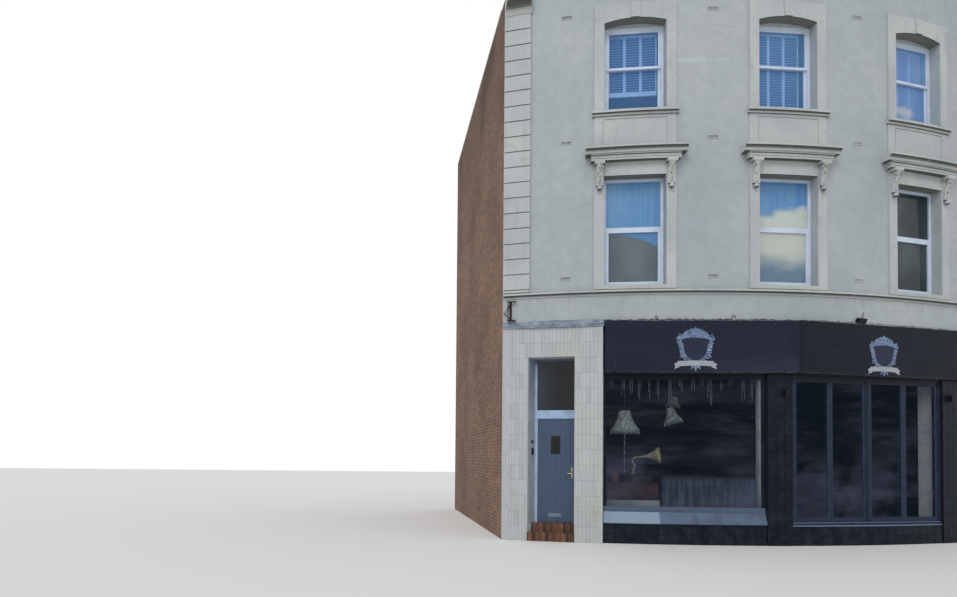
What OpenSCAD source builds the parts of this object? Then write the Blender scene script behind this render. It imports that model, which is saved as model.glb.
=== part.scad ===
// Corner shop building: a rendered three-storey house on a bend, with a bowed front of three
// window bays, a panelled shop front with folding doors, and a tiled entrance to the rooms above.
// Millimetres. The front looks along -Y and +Z is up. The origin lies on the ground in the middle
// of the plan. Lengths along the front are measured on the face of the wall from its middle.

/* [Plot and front] */
// Radius of the bowed front, at the face of the wall
bow_r = 14500; // [11000:100:24000]
// Half of the front's length, from the middle bay to the party line
half_front = 5520; // [5300:10:6700]
// Depth of the house, from the middle of the front to the rear face
depth = 9000; // [7000:100:11500]
// Spacing of the three window bays along the front
bay_step = 2960; // [2700:10:3200]

/* [Walls and floors] */
// Thickness of the front wall
front_t = 350; // [300:10:450]
// Thickness of each party wall
party_t = 230; // [180:10:340]
// Thickness of the rear wall
rear_t = 280; // [215:5:340]
// Thickness of the upper floors
floor_t = 250; // [180:10:320]
// Height of the ground floor above the ground
shop_floor_h = 340; // [280:10:420]
// Height from the ground floor to the first floor
shop_storey = 4010; // [3900:10:4800]
// Height from the first floor to the second floor
first_storey = 3400; // [3300:10:4100]
// Height from the second floor to the roof
second_storey = 2900; // [2850:10:3500]
// Thickness of the roof at the rear wall
roof_t = 100; // [80:10:200]
// Fall of the roof from front to rear
roof_fall = 100; // [60:10:200]
// Height of the front parapet above the roof
parapet_h = 750; // [400:10:1000]
// Height of the party walls above the roof
upstand_h = 350; // [150:10:390]
// Height of the coping stones
coping_h = 80; // [50:5:120]
// Overhang of the coping stones
coping_lap = 45; // [20:5:70]

/* [Upper windows] */
// Width of the front windows
window_w = 1180; // [950:10:1450]
// Depth of the reveal in front of a window
reveal_d = 200; // [120:10:240]
// Height of the first floor sill above its floor
first_sill = 660; // [550:10:800]
// Height of the first floor windows
first_window_h = 2150; // [1750:10:2250]
// Height of the lower casement of a first floor window
casement_h = 1080; // [850:10:1300]
// Height of the second floor sill above its floor
second_sill = 710; // [600:10:850]
// Height of the second floor windows, up to the springing of the arch
second_window_h = 1740; // [1400:10:1800]
// Rise of the arch over a second floor window
arch_rise = 80; // [50:5:110]
// Thickness of a window frame, front to back
frame_d = 80; // [60:5:110]
// Face width of a window frame
frame_w = 55; // [40:5:75]
// Face width of a sash or casement
sash_w = 50; // [35:5:70]
// Thickness of the panes
glass_t = 20; // [6:2:28]

/* [Render mouldings] */
// Projection of the flat bands around the windows
band_d = 28; // [15:1:40]
// Face width of the bands beside a window
band_w = 190; // [140:5:230]
// Height of the string course
string_h = 120; // [80:5:170]
// Projection of the string course
string_d = 75; // [50:5:110]
// Height of the moulded sills on the second floor
sill_h = 115; // [80:5:150]
// Projection of the moulded sills
sill_d = 90; // [60:5:130]
// Height of a window hood
hood_h = 260; // [200:5:320]
// Projection of a window hood
hood_d = 255; // [180:5:280]
// Height of a scrolled bracket under a hood
bracket_h = 570; // [480:10:640]
// Width of a scrolled bracket's body
bracket_w = 130; // [110:5:140]
// Projection of a scrolled bracket
bracket_d = 150; // [120:5:165]
// Width of the quoin piers at the ends of the front
pier_w = 540; // [420:10:560]
// Projection of the quoin blocks
pier_d = 45; // [30:5:70]
// Height of one quoin block, with its joint
quoin_step = 312; // [250:1:380]
// Height of a quoin joint
quoin_joint = 22; // [12:1:32]
// Height of the caps on the quoin piers
cap_h = 420; // [320:10:500]
// Projection of the caps
cap_d = 235; // [180:5:280]

/* [Shop front] */
// Height of the underside of the shop beam
beam_z = 3280; // [3100:10:3400]
// Distance from the middle bay to the left side of the shop window
shop_left = 3540; // [3450:10:3600]
// Distance from the middle bay to the right side of the shop window
shop_right = 450; // [380:10:600]
// Distance from the middle bay to the left side of the folding doors
fold_left = 50; // [0:10:150]
// Distance from the middle bay to the right side of the folding doors
fold_right = 3510; // [3300:10:3650]
// Distance from the middle bay to the right end of the shop front
shop_end = 4420; // [4300:10:4900]
// Height of the plinth under the shop window and the folding doors
plinth_h = 390; // [360:10:450]
// Height of the fascia boards
fascia_h = 1000; // [800:10:1050]
// Least thickness of the fascia boards
fascia_t = 35; // [20:1:60]
// Setback of the shop glazing from the face of the wall
glazing_in = 130; // [110:5:160]
// Thickness of the tiling on the pilasters
tile_t = 22; // [12:1:35]
// Face width of the shop window frame
shop_frame_w = 50; // [40:5:80]
// Face width of the folding doors' stiles and rails
fold_stile = 62; // [50:2:90]
// Width of the post between the two pairs of folding doors
fold_post = 80; // [60:5:120]

/* [Entrance] */
// Distance from the middle bay to the middle of the entrance
door_s = 4500; // [4450:10:4550]
// Width of the opening left in the wall for the entrance
door_bay_w = 1040; // [1000:10:1080]
// Height of the tiled surround
surround_h = 4200; // [4000:10:4250]
// Projection of the tiled surround in front of the wall
surround_d = 60; // [40:5:90]
// Height of the entrance opening in the tiles
entry_h = 3620; // [3500:10:3750]
// Setback of the door frame from the face of the wall
door_in = 250; // [200:5:260]
// Height of the front door
leaf_h = 2080; // [1980:10:2150]
// Thickness of the front door
leaf_t = 45; // [38:1:55]
// Running clearance around the front door
leaf_gap = 6; // [5:1:9]
// Radius of the hinge pins
pin_r = 4; // [3:0.5:5]

/* [Hidden] */

$fn = 48;
seat = 0.3;      // gap left between faces that meet
far = 30000;     // longer than anything in the model
bow_y = bow_r - depth / 2;
rear_y = depth / 2;
inner_r = bow_r - front_t;
half_w = round(bow_r * sin(deg_at(half_front)));
room_w = half_w - party_t;
rear_in = rear_y - rear_t;
first_z = shop_floor_h + shop_storey;
second_z = first_z + first_storey;
roof_z = second_z + second_storey;
wall_top = roof_z + parapet_h;
party_top = roof_z + upstand_h;
roof_under = roof_z - roof_fall - roof_t;
first_win_z = first_z + first_sill;
first_head = first_win_z + first_window_h;
second_win_z = second_z + second_sill;
second_head = second_win_z + second_window_h;
sill_over_string = 80;
string_z = first_win_z - sill_over_string - string_h;
frieze_drop = 50;
frieze_z = roof_z - frieze_drop;
frieze_step = 20;
head_band_h = 265;
hood_z = first_head + head_band_h;
sill_z = second_win_z - sill_h;
fascia_z = beam_z + 20;
shop_mid = (shop_right + shop_left) / 2;
shop_w = shop_left - shop_right;
fold_mid = (fold_left + fold_right) / 2;
fold_w = fold_right - fold_left;
BAYS = [-bay_step, 0, bay_step];

// Angle on the bow of a length along the front
function deg_at(s) = s / bow_r * 180 / PI;
// Depth of the bow over a straight line of a given width
function sagitta(w) = bow_r - sqrt(bow_r * bow_r - w * w / 4);
// Width that a flat frame may have in an opening with radial sides, by the depth of its back
function fit_w(w, back) = 2 * ((bow_r - back) * tan(deg_at(w) / 2) - seat);

// Puts a piece drawn at the origin onto the face of the wall, at a length along the front
module at_bow(s) {
    translate([0, bow_y, 0]) rotate([0, 0, deg_at(s)]) translate([0, -bow_r, 0]) children();
}

// Steps of a full turn that give a sweep an even number of them, with one on its middle
function even_steps(turn) =
    let (n = ceil(turn * 256 / 360)) n % 2 == 0 ? 256 : max(36, floor(360 * (n - 1) / turn));

// Revolves a profile, drawn as distance from the bow's centre and height, between two lengths
module bow_sweep(s0, s1) {
    turn = deg_at(s1 - s0);
    translate([0, bow_y, 0]) rotate([0, 0, deg_at(s0) - 90])
        rotate_extrude(angle = turn, $fn = even_steps(turn)) children();
}

// A curved block between two lengths, two distances from the wall face and two heights
module bow_block(s0, s1, y0, y1, z0, z1) {
    bow_sweep(s0, s1) translate([bow_r - y1, z0]) square([y1 - y0, z1 - z0]);
}

// Everything within a distance from the bow's centre
module bow_disc(r, z0, z1) {
    translate([0, bow_y, z0]) cylinder(r = r, h = z1 - z0, $fn = 256);
}

// Stands a flat outline upright, facing the street, between two distances from the wall face
module upright(y0, y1) {
    translate([0, y1, 0]) rotate([90, 0, 0]) linear_extrude(y1 - y0) children();
}

// A block given by its lowest and highest corners
module block(low, high) {
    translate(low) cube(high - low);
}

// Keeps what lies between the party lines
module on_plot() {
    intersection() {
        children();
        block([-half_w, -far, -far], [half_w, far, far]);
    }
}

// A rectangle with a hole in it, by the widths of its sides
module ring_outline(w, h, side, bottom, top) {
    difference() {
        translate([-w / 2, 0]) square([w, h]);
        translate([side - w / 2, bottom]) square([w - 2 * side, h - bottom - top]);
    }
}

// A rectangle with a segmental arch on top
module arched_outline(w, h, rise) {
    r = (w * w / 4 + rise * rise) / (2 * rise);
    translate([-w / 2, 0]) square([w, h]);
    intersection() {
        translate([0, h + rise - r]) circle(r = r, $fn = 256);
        translate([-w / 2, h - 1]) square([w, rise + 2]);
    }
}

// Points of a hollow quarter curve, from one point to another
function cove(x0, y0, x1, y1, n = 6) =
    [for (i = [0:n]) [x1 + (x0 - x1) * cos(90 * i / n), y0 + (y1 - y0) * sin(90 * i / n)]];

// A party wall, with its front end shaped to the end and the back of the bowed wall
module party_wall(side) {
    turn = deg_at(half_front);
    back_r = inner_r - seat;
    back_x = back_r * sin(turn) + seat * cos(turn);
    color("tan") linear_extrude(party_top) polygon([
        [side * half_w, bow_y - bow_r * cos(turn) + seat / sin(turn)],
        [side * back_x, bow_y - back_r * cos(turn) + seat * sin(turn)],
        [side * room_w, bow_y - sqrt(back_r * back_r - room_w * room_w)],
        [side * room_w, rear_y], [side * half_w, rear_y]
    ]);
}

module party_wall_left() {
    party_wall(-1);
}

module party_wall_right() {
    party_wall(1);
}

rear_window_w = 1100;
rear_bays = [-bay_step, 0, bay_step];
// Sill and head of the rear window on each storey
rear_rows = [
    [shop_floor_h + 1000, shop_floor_h + 2700],
    [first_win_z + 100, first_head - 300],
    [second_win_z, second_head]
];

module rear_slot(x, z0, z1) {
    block([x - rear_window_w / 2, rear_in - 50, z0], [x + rear_window_w / 2, rear_y + 50, z1]);
}

module rear_wall_piers() {
    color("tan") difference() {
        block([seat - room_w, rear_in, 0], [room_w - seat, rear_y, roof_under - seat]);
        for (x = rear_bays) rear_slot(x, -10, roof_under + 10);
    }
}

module rear_wall_panels() {
    tops = [for (row = rear_rows) row[0]];
    starts = concat([0], [for (row = rear_rows) row[1]]);
    ends = concat(tops, [roof_under - seat]);
    half = rear_window_w / 2 - seat;
    color("tan") for (x = rear_bays, i = [0:len(ends) - 1])
        block([x - half, rear_in, starts[i]], [x + half, rear_y, ends[i]]);
}

module front_wall_piers() {
    starts = concat([-half_front], [for (s = BAYS) s + window_w / 2]);
    ends = concat([for (s = BAYS) s - window_w / 2], [half_front]);
    color("antiquewhite") for (i = [0:3]) bow_block(starts[i], ends[i], 0, front_t, first_z + seat, wall_top);
}

module front_wall_panels() {
    half = window_w / 2 - seat;
    color("antiquewhite") for (s = BAYS) {
        bow_block(s - half, s + half, 0, front_t, first_z + seat, first_win_z);
        bow_block(s - half, s + half, 0, front_t, first_head, second_win_z);
        difference() {
            bow_block(s - half, s + half, 0, front_t, second_head, wall_top);
            at_bow(s) translate([0, 0, second_win_z])
                upright(-100, reveal_d) arched_outline(window_w, second_window_h, arch_rise);
        }
    }
}

// The wall piers of the ground storey: beside the entrance, between the shop openings and at the end
module shop_piers() {
    pier_top = beam_z - seat;
    color("antiquewhite") {
        difference() {
            bow_block(-half_front, -shop_left, 0, front_t, 0, pier_top);
            entrance_bay();
        }
        bow_block(-shop_right, fold_left, 0, front_t, 0, pier_top);
        bow_block(fold_right, half_front, 0, front_t, 0, pier_top);
    }
}

module entrance_bay() {
    at_bow(-door_s) block([-door_bay_w / 2, -200, -10], [door_bay_w / 2, front_t + 200, entry_h + 40]);
}

// The beam over the ground storey, in lengths that bear on the piers
module shop_beam() {
    joint = 0.5;
    bearing = 180;
    seams = [-half_front - joint / 2, -shop_left - bearing, 0, fold_right + bearing, half_front + joint / 2];
    color("antiquewhite") for (i = [0:len(seams) - 2]) difference() {
        bow_block(seams[i] + joint / 2, seams[i + 1] - joint / 2, 0, front_t, beam_z, first_z);
        entrance_bay();
    }
}

module floor_plate(z0, z1) {
    intersection() {
        block([seat - room_w, -far, z0], [room_w - seat, rear_in - seat, z1]);
        bow_disc(inner_r - seat, z0, z1);
    }
}

module ground_floor() {
    color("dimgray") floor_plate(0, shop_floor_h);
}

module first_floor() {
    color("burlywood") floor_plate(first_z - floor_t, first_z);
}

module second_floor() {
    color("burlywood") floor_plate(second_z - floor_t, second_z);
}

module roof_deck() {
    color("slategray") intersection() {
        translate([seat - room_w, 0, 0]) rotate([90, 0, 90]) linear_extrude(2 * (room_w - seat))
            polygon([
                [-rear_y, roof_under], [rear_y, roof_under],
                [rear_y, roof_under + roof_t], [-rear_y, roof_z]
            ]);
        bow_disc(inner_r - seat, roof_under - 10, roof_z + 10);
    }
}

module parapet_coping() {
    stones = 12;
    joint = 4;
    step = 2 * half_front / stones;
    color("lightgray") on_plot() for (i = [0:stones - 1])
        bow_sweep(i * step + joint / 2 - half_front, (i + 1) * step - joint / 2 - half_front)
            translate([bow_r, wall_top + seat]) polygon([
            [-front_t - coping_lap, 0], [coping_lap, 0], [coping_lap, coping_h * 0.6],
            [-front_t / 2, coping_h], [-front_t - coping_lap, coping_h * 0.6]
        ]);
}

module party_copings() {
    stones = 8;
    joint = 4;
    front_r = inner_r - coping_lap - joint;
    y0 = bow_y - sqrt(front_r * front_r - half_w * half_w);
    step = (rear_y - y0) / stones;
    low = room_w - coping_lap;
    color("lightgray") for (side = [-1, 1], i = [0:stones - 1])
        block([min(side * low, side * half_w), y0 + i * step + joint / 2, party_top + seat],
            [max(side * low, side * half_w), y0 + (i + 1) * step - joint / 2, party_top + coping_h * 0.75]);
}

module string_course() {
    color("ivory") on_plot() bow_sweep(-half_front, half_front) translate([bow_r + seat, string_z])
        polygon(concat(
            [[0, 0]],
            cove(12, 0, string_d * 0.7, string_h * 0.45),
            [[string_d, string_h * 0.5], [string_d, string_h * 0.8], [0, string_h]]
        ));
}

module quoin_piers() {
    top = frieze_z - 10;
    base = string_z + string_h + seat;
    rows = floor((top - base) / quoin_step);
    color("ivory") on_plot() for (s0 = [-half_front, half_front - pier_w]) difference() {
        bow_block(s0, s0 + pier_w, -pier_d, -seat, base, top);
        for (i = [1:rows])
            bow_block(s0 - 100, s0 + pier_w + 100, -pier_d - 10, quoin_joint - pier_d,
                top - i * quoin_step, top - i * quoin_step + quoin_joint);
    }
}

module pier_caps() {
    color("ivory") on_plot() for (s0 = [-half_front, half_front - pier_w - 20])
        bow_sweep(s0, s0 + pier_w + 20) translate([bow_r + seat, frieze_z - 10 + seat]) polygon(concat(
            [[0, 0], [pier_d + 8, 0], [pier_d + 8, cap_h * 0.08]],
            cove(pier_d + 12, cap_h * 0.08, cap_d - 15, cap_h * 0.5),
            [[cap_d, cap_h * 0.53], [cap_d, cap_h * 0.88], [0, cap_h]]
        ));
}

surround_w = window_w + 2 * band_w;

// Flat bands on both sides of a window, between two heights
module jamb_bands(s, z0, z1) {
    for (ends = [[-surround_w / 2, -window_w / 2], [window_w / 2, surround_w / 2]])
        bow_block(s + ends[0], s + ends[1], -band_d, -seat, z0, z1);
}

module second_floor_surrounds() {
    arch_r = (window_w * window_w / 4 + arch_rise * arch_rise) / (2 * arch_rise);
    reach = surround_w / 2;
    color("ivory") for (s = BAYS) {
        jamb_bands(s, second_win_z + seat, second_head - seat);
        difference() {
            bow_block(s - reach, s + reach, -band_d, -seat, second_head, frieze_z - frieze_step);
            at_bow(s) translate([0, 200, second_head + arch_rise - arch_r]) rotate([90, 0, 0])
                cylinder(r = arch_r, h = 400, $fn = 256);
        }
    }
}

// Wedges that stand on the bands, over the middle of each arch
module keystones() {
    key_w = 160;
    key_d = 22;
    low = second_head + arch_rise;
    color("ivory") for (s = BAYS) at_bow(s) upright(-band_d - key_d, -band_d - seat) polygon([
        [-key_w / 2, low], [key_w / 2, low],
        [key_w * 0.62, frieze_z - frieze_step], [-key_w * 0.62, frieze_z - frieze_step]
    ]);
}

module second_floor_sills() {
    reach = surround_w / 2 + 40;
    color("ivory") for (s = BAYS) bow_sweep(s - reach, s + reach) translate([bow_r + seat, sill_z])
        polygon(concat(
            [[0, 0], [sill_d * 0.5, 0]],
            cove(sill_d * 0.52, sill_h * 0.08, sill_d * 0.8, sill_h * 0.4, 5),
            [[sill_d, sill_h * 0.45], [sill_d, sill_h * 0.85], [0, sill_h]]
        ));
}

module apron_panels() {
    inset = 170;
    line = 14;
    low = hood_z + hood_h + 40;
    high = sill_z - 60;
    reach = surround_w / 2;
    color("ivory") for (s = BAYS) difference() {
        bow_block(s - reach, s + reach, -band_d * 0.6, -seat, hood_z + hood_h + seat, sill_z - seat);
        difference() {
            bow_block(s - reach + inset, s + reach - inset, -100, -band_d * 0.25, low, high);
            bow_block(s - reach + inset + line, s + reach - inset - line, -101, 0, low + line, high - line);
        }
    }
}

module first_floor_architraves() {
    reach = surround_w / 2;
    base = string_z + string_h + seat;
    color("ivory") for (s = BAYS) {
        bow_block(s - reach, s + reach, -band_d, -seat, base, first_win_z);
        jamb_bands(s, first_win_z + seat, first_head - seat);
        bow_block(s - reach, s + reach, -band_d, -seat, first_head, hood_z - seat);
    }
}

module window_hoods() {
    bed = surround_w / 2 + 60;
    crown = bed + 110;
    color("ivory") for (s = BAYS) {
        top = hood_h * 0.55;
        bow_sweep(s - crown, s + crown) translate([bow_r + seat, hood_z + hood_h - top])
            polygon(concat(
                [[0, 0], [hood_d * 0.72, 0]],
                cove(hood_d * 0.74, top * 0.08, hood_d * 0.95, top * 0.6, 5),
                [[hood_d, top * 0.64], [hood_d, top * 0.86], [0, top]]
            ));
        bow_sweep(s - bed, s + bed) translate([bow_r + seat, hood_z])
            polygon(concat(
                [[0, 0], [hood_d * 0.55, 0], [hood_d * 0.55, hood_h * 0.14]],
                cove(hood_d * 0.57, hood_h * 0.17, hood_d * 0.68, hood_h * 0.38, 5),
                [[hood_d * 0.68, hood_h - top + 1], [0, hood_h - top + 1]]
            ));
    }
}

// Slotted air bricks in three rows: middle of each brick along the front, and its height
air_rows = [first_win_z + 130, first_head + 690, second_head + 180];
air_places = [-bay_step * 1.5 + 160, -bay_step / 2, bay_step / 2];

module air_bricks() {
    w = 215;
    h = 75;
    slots = 9;
    slot_w = 12;
    step = (w - 20) / slots;
    color("gray") for (z = air_rows, s = air_places) at_bow(s) translate([0, 0, z]) upright(-8, -seat - 0.4)
        difference() {
            translate([-w / 2, 0]) square([w, h]);
            for (i = [0:slots - 1]) translate([(i - (slots - 1) / 2) * step - slot_w / 2, 14])
                square([slot_w, h - 28]);
        }
}

// A bracket seen from its side: a block on top, a hollow curve down to a slender stem, and a collar
head_block_h = 64;
collar_z = 100;
collar_h = 16;
stem_d = 46;

module bracket_outline() {
    steps = 18;
    swell = 0.12;
    top_z = bracket_h - head_block_h;
    foot_z = collar_z + collar_h;
    scroll_d = bracket_d - 14;
    polygon(concat(
        [[0, foot_z]],
        [for (i = [0:steps]) let (t = i / steps, turn = 90 * pow(t, 1.5), out = 1 - cos(turn)) [
            stem_d + (scroll_d - stem_d) * out * (1 + swell * sin(2 * turn)),
            foot_z + t * (top_z - foot_z)
        ]],
        [[0, top_z]]
    ));
    translate([0, collar_z]) square([stem_d + 12, collar_h + 1]);
}

module hood_brackets() {
    head_over = 32;
    drop_r = 50;
    set_out = surround_w / 2 - bracket_w / 2 - head_over - 6;
    color("ivory") for (s = BAYS, side = [-1, 1]) at_bow(s + side * set_out)
        translate([0, -band_d - 0.5, hood_z - bracket_h - seat]) {
            translate([-bracket_w / 2, 0, 0]) rotate([90, 0, 90])
                linear_extrude(bracket_w) mirror([1, 0]) bracket_outline();
            block([-bracket_w / 2 - head_over, -bracket_d, bracket_h - head_block_h],
                [bracket_w / 2 + head_over, 0, bracket_h]);
            translate([0, -drop_r, drop_r + 2]) rotate_extrude($fn = 72) polygon(concat(
                [[0, -drop_r * cos(15)]],
                [for (a = [15:15:165]) [drop_r * sin(a), -drop_r * cos(a)]],
                [[0, drop_r * cos(15)]]
            ));
        }
}

// Frame, casements and panes of the first floor windows
frame_fit_w = fit_w(window_w, reveal_d + frame_d);
first_frame_h = first_window_h - 2 * seat;
second_frame_h = second_window_h - 2 * seat;
inner_w = frame_fit_w - 2 * frame_w;
sash_fit_w = inner_w - 2 * seat;
fixed_z = casement_h + frame_w;

module first_floor_frames() {
    color("white") for (s = BAYS) at_bow(s) translate([0, 0, first_win_z + seat])
        upright(reveal_d, reveal_d + frame_d) difference() {
            translate([-frame_fit_w / 2, 0]) square([frame_fit_w, first_frame_h]);
            translate([-inner_w / 2, frame_w]) square([inner_w, casement_h]);
            translate([-inner_w / 2, fixed_z + frame_w])
                square([inner_w, first_frame_h - fixed_z - 2 * frame_w]);
        }
}

module first_floor_casements() {
    color("white") for (s = BAYS) at_bow(s) translate([0, 0, first_win_z + frame_w + 2 * seat])
        upright(reveal_d - 12, reveal_d + frame_d - 20)
            ring_outline(sash_fit_w, casement_h - 2 * seat, sash_w, sash_w, sash_w);
}

// A pane that fills an opening of the given size with the seating gap all round
module pane(w, h, y0) {
    upright(y0, y0 + glass_t) translate([seat - w / 2, seat]) square([w - 2 * seat, h - 2 * seat]);
}

module first_floor_glass() {
    y0 = reveal_d + (frame_d - glass_t) / 2;
    color("lightblue", 0.5) for (s = BAYS) at_bow(s) translate([0, 0, first_win_z + seat]) {
        translate([0, 0, fixed_z + frame_w]) pane(inner_w, first_frame_h - fixed_z - 2 * frame_w, y0);
        translate([0, 0, frame_w + sash_w + seat])
            pane(sash_fit_w - 2 * sash_w, casement_h - 2 * seat - 2 * sash_w, y0 - 10);
    }
}

// Sliding sashes of the second floor: the upper one in front, the lower one behind it
second_inner_h = second_frame_h - 2 * frame_w;
upper_h = second_inner_h * 0.48;
lower_h = second_inner_h - upper_h + sash_w;
sash_d = frame_d / 2 - 4;

module second_floor_frames() {
    color("white") for (s = BAYS) at_bow(s) translate([0, 0, second_win_z + seat])
        upright(reveal_d, reveal_d + frame_d)
            ring_outline(frame_fit_w, second_frame_h, frame_w, frame_w, frame_w);
}

// Puts the upper sash, then the lower one, where they close
module sash_place(s, upper) {
    at_bow(s) translate([0, 0, second_win_z + frame_w + (upper ? second_inner_h - upper_h + seat : 2 * seat)])
        children();
}

module second_floor_sashes() {
    color("white") for (s = BAYS) {
        sash_place(s, true) upright(reveal_d, reveal_d + sash_d)
            ring_outline(sash_fit_w, upper_h - seat, sash_w, sash_w, sash_w);
        sash_place(s, false) upright(reveal_d + sash_d + 4, reveal_d + 2 * sash_d + 4)
            ring_outline(sash_fit_w, lower_h - seat, sash_w, sash_w, sash_w);
    }
}

module second_floor_glass() {
    y0 = reveal_d + (sash_d - glass_t) / 2;
    w = sash_fit_w - 2 * sash_w;
    color("lightblue", 0.5) for (s = BAYS) {
        sash_place(s, true) translate([0, 0, sash_w]) pane(w, upper_h - seat - 2 * sash_w, y0);
        sash_place(s, false) translate([0, 0, sash_w]) pane(w, lower_h - seat - 2 * sash_w, y0 + sash_d + 4);
    }
}

rear_reveal = 110;

rear_fit_w = rear_window_w - 2 * seat;

module rear_frames() {
    color("white") for (x = rear_bays, row = rear_rows)
        translate([x, rear_y - rear_reveal - frame_d, row[0] + seat]) {
            half_h = (row[1] - row[0]) / 2 - seat;
            upright(0, frame_d) for (z = [0, half_h - frame_w / 2]) translate([0, z])
                ring_outline(rear_fit_w, half_h + frame_w / 2, frame_w, frame_w, frame_w);
        }
}

module rear_glass() {
    color("lightblue", 0.5) for (x = rear_bays, row = rear_rows)
        translate([x, rear_y - rear_reveal - frame_d, row[0] + seat]) {
            half_h = (row[1] - row[0]) / 2 - seat;
            for (z = [frame_w, half_h + frame_w / 2]) translate([0, 0, z])
                pane(rear_fit_w - 2 * frame_w, half_h - 1.5 * frame_w, (frame_d - glass_t) / 2);
        }
}

module rear_sills() {
    reach = rear_window_w / 2 + 60;
    thick = 80;
    below = 10;
    stand_out = 50;
    color("lightgray") for (x = rear_bays, row = rear_rows)
        block([x - reach, rear_y + seat, row[0] - below - thick],
            [x + reach, rear_y + stand_out, row[0] - below]);
}

// The entrance, drawn around the middle of its opening in the wall
entry_left = -500;
entry_right = 410;
frame_left = -380;
frame_right = 470;
jamb_w = 45;
leaf_left = frame_left + jamb_w + leaf_gap;
leaf_right = frame_right - jamb_w - leaf_gap - 2;
leaf_z = shop_floor_h + 10;
leaf_y = door_in + 16;
frame_back = leaf_y + leaf_t;
transom_z = leaf_z + leaf_h + leaf_gap;
transom_h = 155;

// Plan of the entrance recess: the left side is splayed
module recess_plan(gap) {
    polygon([
        [entry_left + gap, -surround_d - 20], [entry_right - gap, -surround_d - 20],
        [entry_right - gap, door_in], [frame_left + gap, door_in], [entry_left + gap, -surround_d]
    ]);
}

module entrance_surround() {
    right_end = door_s - shop_left - 20;
    color("wheat") difference() {
        union() {
            on_plot() difference() {
                at_bow(-door_s) block([-half_w, -surround_d, 0], [right_end, bow_r, surround_h]);
                bow_disc(bow_r + seat, -10, surround_h + 10);
            }
            at_bow(-door_s) block([seat - door_bay_w / 2, 10 - surround_d, 0],
                [door_bay_w / 2 - seat, frame_back, entry_h + 40 - seat]);
        }
        at_bow(-door_s) {
            translate([0, 0, -10]) linear_extrude(entry_h + 10) recess_plan(0);
            block([frame_left, door_in - seat, -10], [frame_right, frame_back + 10, entry_h]);
        }
    }
}

module surround_flashing() {
    drip = surround_d + sagitta(2 * (half_front - door_s)) + 15;
    color("slategray") on_plot() bow_sweep(-half_front, -shop_left) translate([bow_r + seat, surround_h])
        polygon([[0, 0], [drip, 0], [drip, 22], [25, 60], [12, 150], [0, 150]]);
}

module entrance_steps() {
    rise = shop_floor_h / 2;
    color("sienna") at_bow(-door_s) for (i = [0, 1]) intersection() {
        translate([0, 0, i * rise]) linear_extrude(rise) union() {
            recess_plan(seat);
            translate([frame_left + seat, door_in])
                square([frame_right - frame_left - 2 * seat, front_t - door_in - 10]);
        }
        block([-half_w, i == 0 ? -surround_d - 15 : 110, -10], [half_w, far, far]);
    }
}

module door_frame() {
    h = entry_h - shop_floor_h - 2 * seat;
    stop = 12;
    color("white") at_bow(-door_s) translate([(frame_left + frame_right) / 2, 0, shop_floor_h + seat]) {
        w = frame_right - frame_left - 2 * seat;
        upright(door_in, frame_back) difference() {
            translate([-w / 2, 0]) square([w, h]);
            translate([jamb_w - w / 2, -1]) square([w - 2 * jamb_w, transom_z - shop_floor_h + 1]);
            translate([jamb_w - w / 2, transom_z - shop_floor_h + transom_h])
                square([w - 2 * jamb_w, h - jamb_w - (transom_z - shop_floor_h + transom_h)]);
        }
        // the stops that the leaf closes against
        upright(door_in, door_in + stop - 2) difference() {
            translate([jamb_w - w / 2 - 1, 0]) square([w - 2 * jamb_w + 2, transom_z - shop_floor_h + 1]);
            translate([jamb_w - w / 2 + stop, -1])
                square([w - 2 * (jamb_w + stop), transom_z - shop_floor_h + 1 - stop]);
        }
    }
}

module fanlight_glass() {
    y0 = (door_in + frame_back - glass_t) / 2;
    low = transom_z + transom_h + seat;
    color("lightblue", 0.5) at_bow(-door_s) translate([(frame_left + frame_right) / 2, 0, low])
        pane(frame_right - frame_left - 2 * jamb_w - 2 * seat, entry_h - jamb_w - seat - low, y0);
}

hinge_x = frame_left + jamb_w;
hinge_y = leaf_y + leaf_t + 9;
hinge_rows = [leaf_z + 250, leaf_z + leaf_h / 2, leaf_z + leaf_h - 250];
knuckle_r = 8;
knuckle_h = 34;
flap_t = 4;

module door_hinges() {
    color("silver") at_bow(-door_s) for (z = hinge_rows) {
        translate([hinge_x, hinge_y, z - 1.5 * knuckle_h]) cylinder(r = pin_r, h = 3 * knuckle_h);
        for (k = [-1, 1]) translate([hinge_x, hinge_y, z + k * knuckle_h - knuckle_h / 2]) {
            cylinder(r = knuckle_r, h = knuckle_h - 1);
            block([-knuckle_r - 20, frame_back + seat - hinge_y, 0],
                [0, frame_back - hinge_y + flap_t, knuckle_h - 1]);
        }
    }
}

module front_door() {
    boards = 8;
    groove = 7;
    board_w = (leaf_right - leaf_left) / boards;
    color("slategray") at_bow(-door_s) {
        difference() {
            block([leaf_left, leaf_y, leaf_z], [leaf_right, leaf_y + leaf_t, leaf_z + leaf_h]);
            for (i = [1:boards - 1]) translate([leaf_left + i * board_w, 0, 0])
                block([-groove / 2, leaf_y - 1, leaf_z - 1],
                    [groove / 2, leaf_y + groove, leaf_z + leaf_h + 1]);
        }
        for (z = hinge_rows) difference() {
            union() {
                translate([hinge_x, hinge_y, z - knuckle_h / 2 + 1])
                    cylinder(r = knuckle_r, h = knuckle_h - 3);
                block([hinge_x + 1.5, leaf_y + leaf_t, z - knuckle_h / 2 + 1],
                    [leaf_left + 40, leaf_y + leaf_t + flap_t, z + knuckle_h / 2 - 2]);
            }
            translate([hinge_x, hinge_y, z - knuckle_h]) cylinder(r = pin_r + 0.5, h = 2 * knuckle_h);
        }
    }
}

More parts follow.
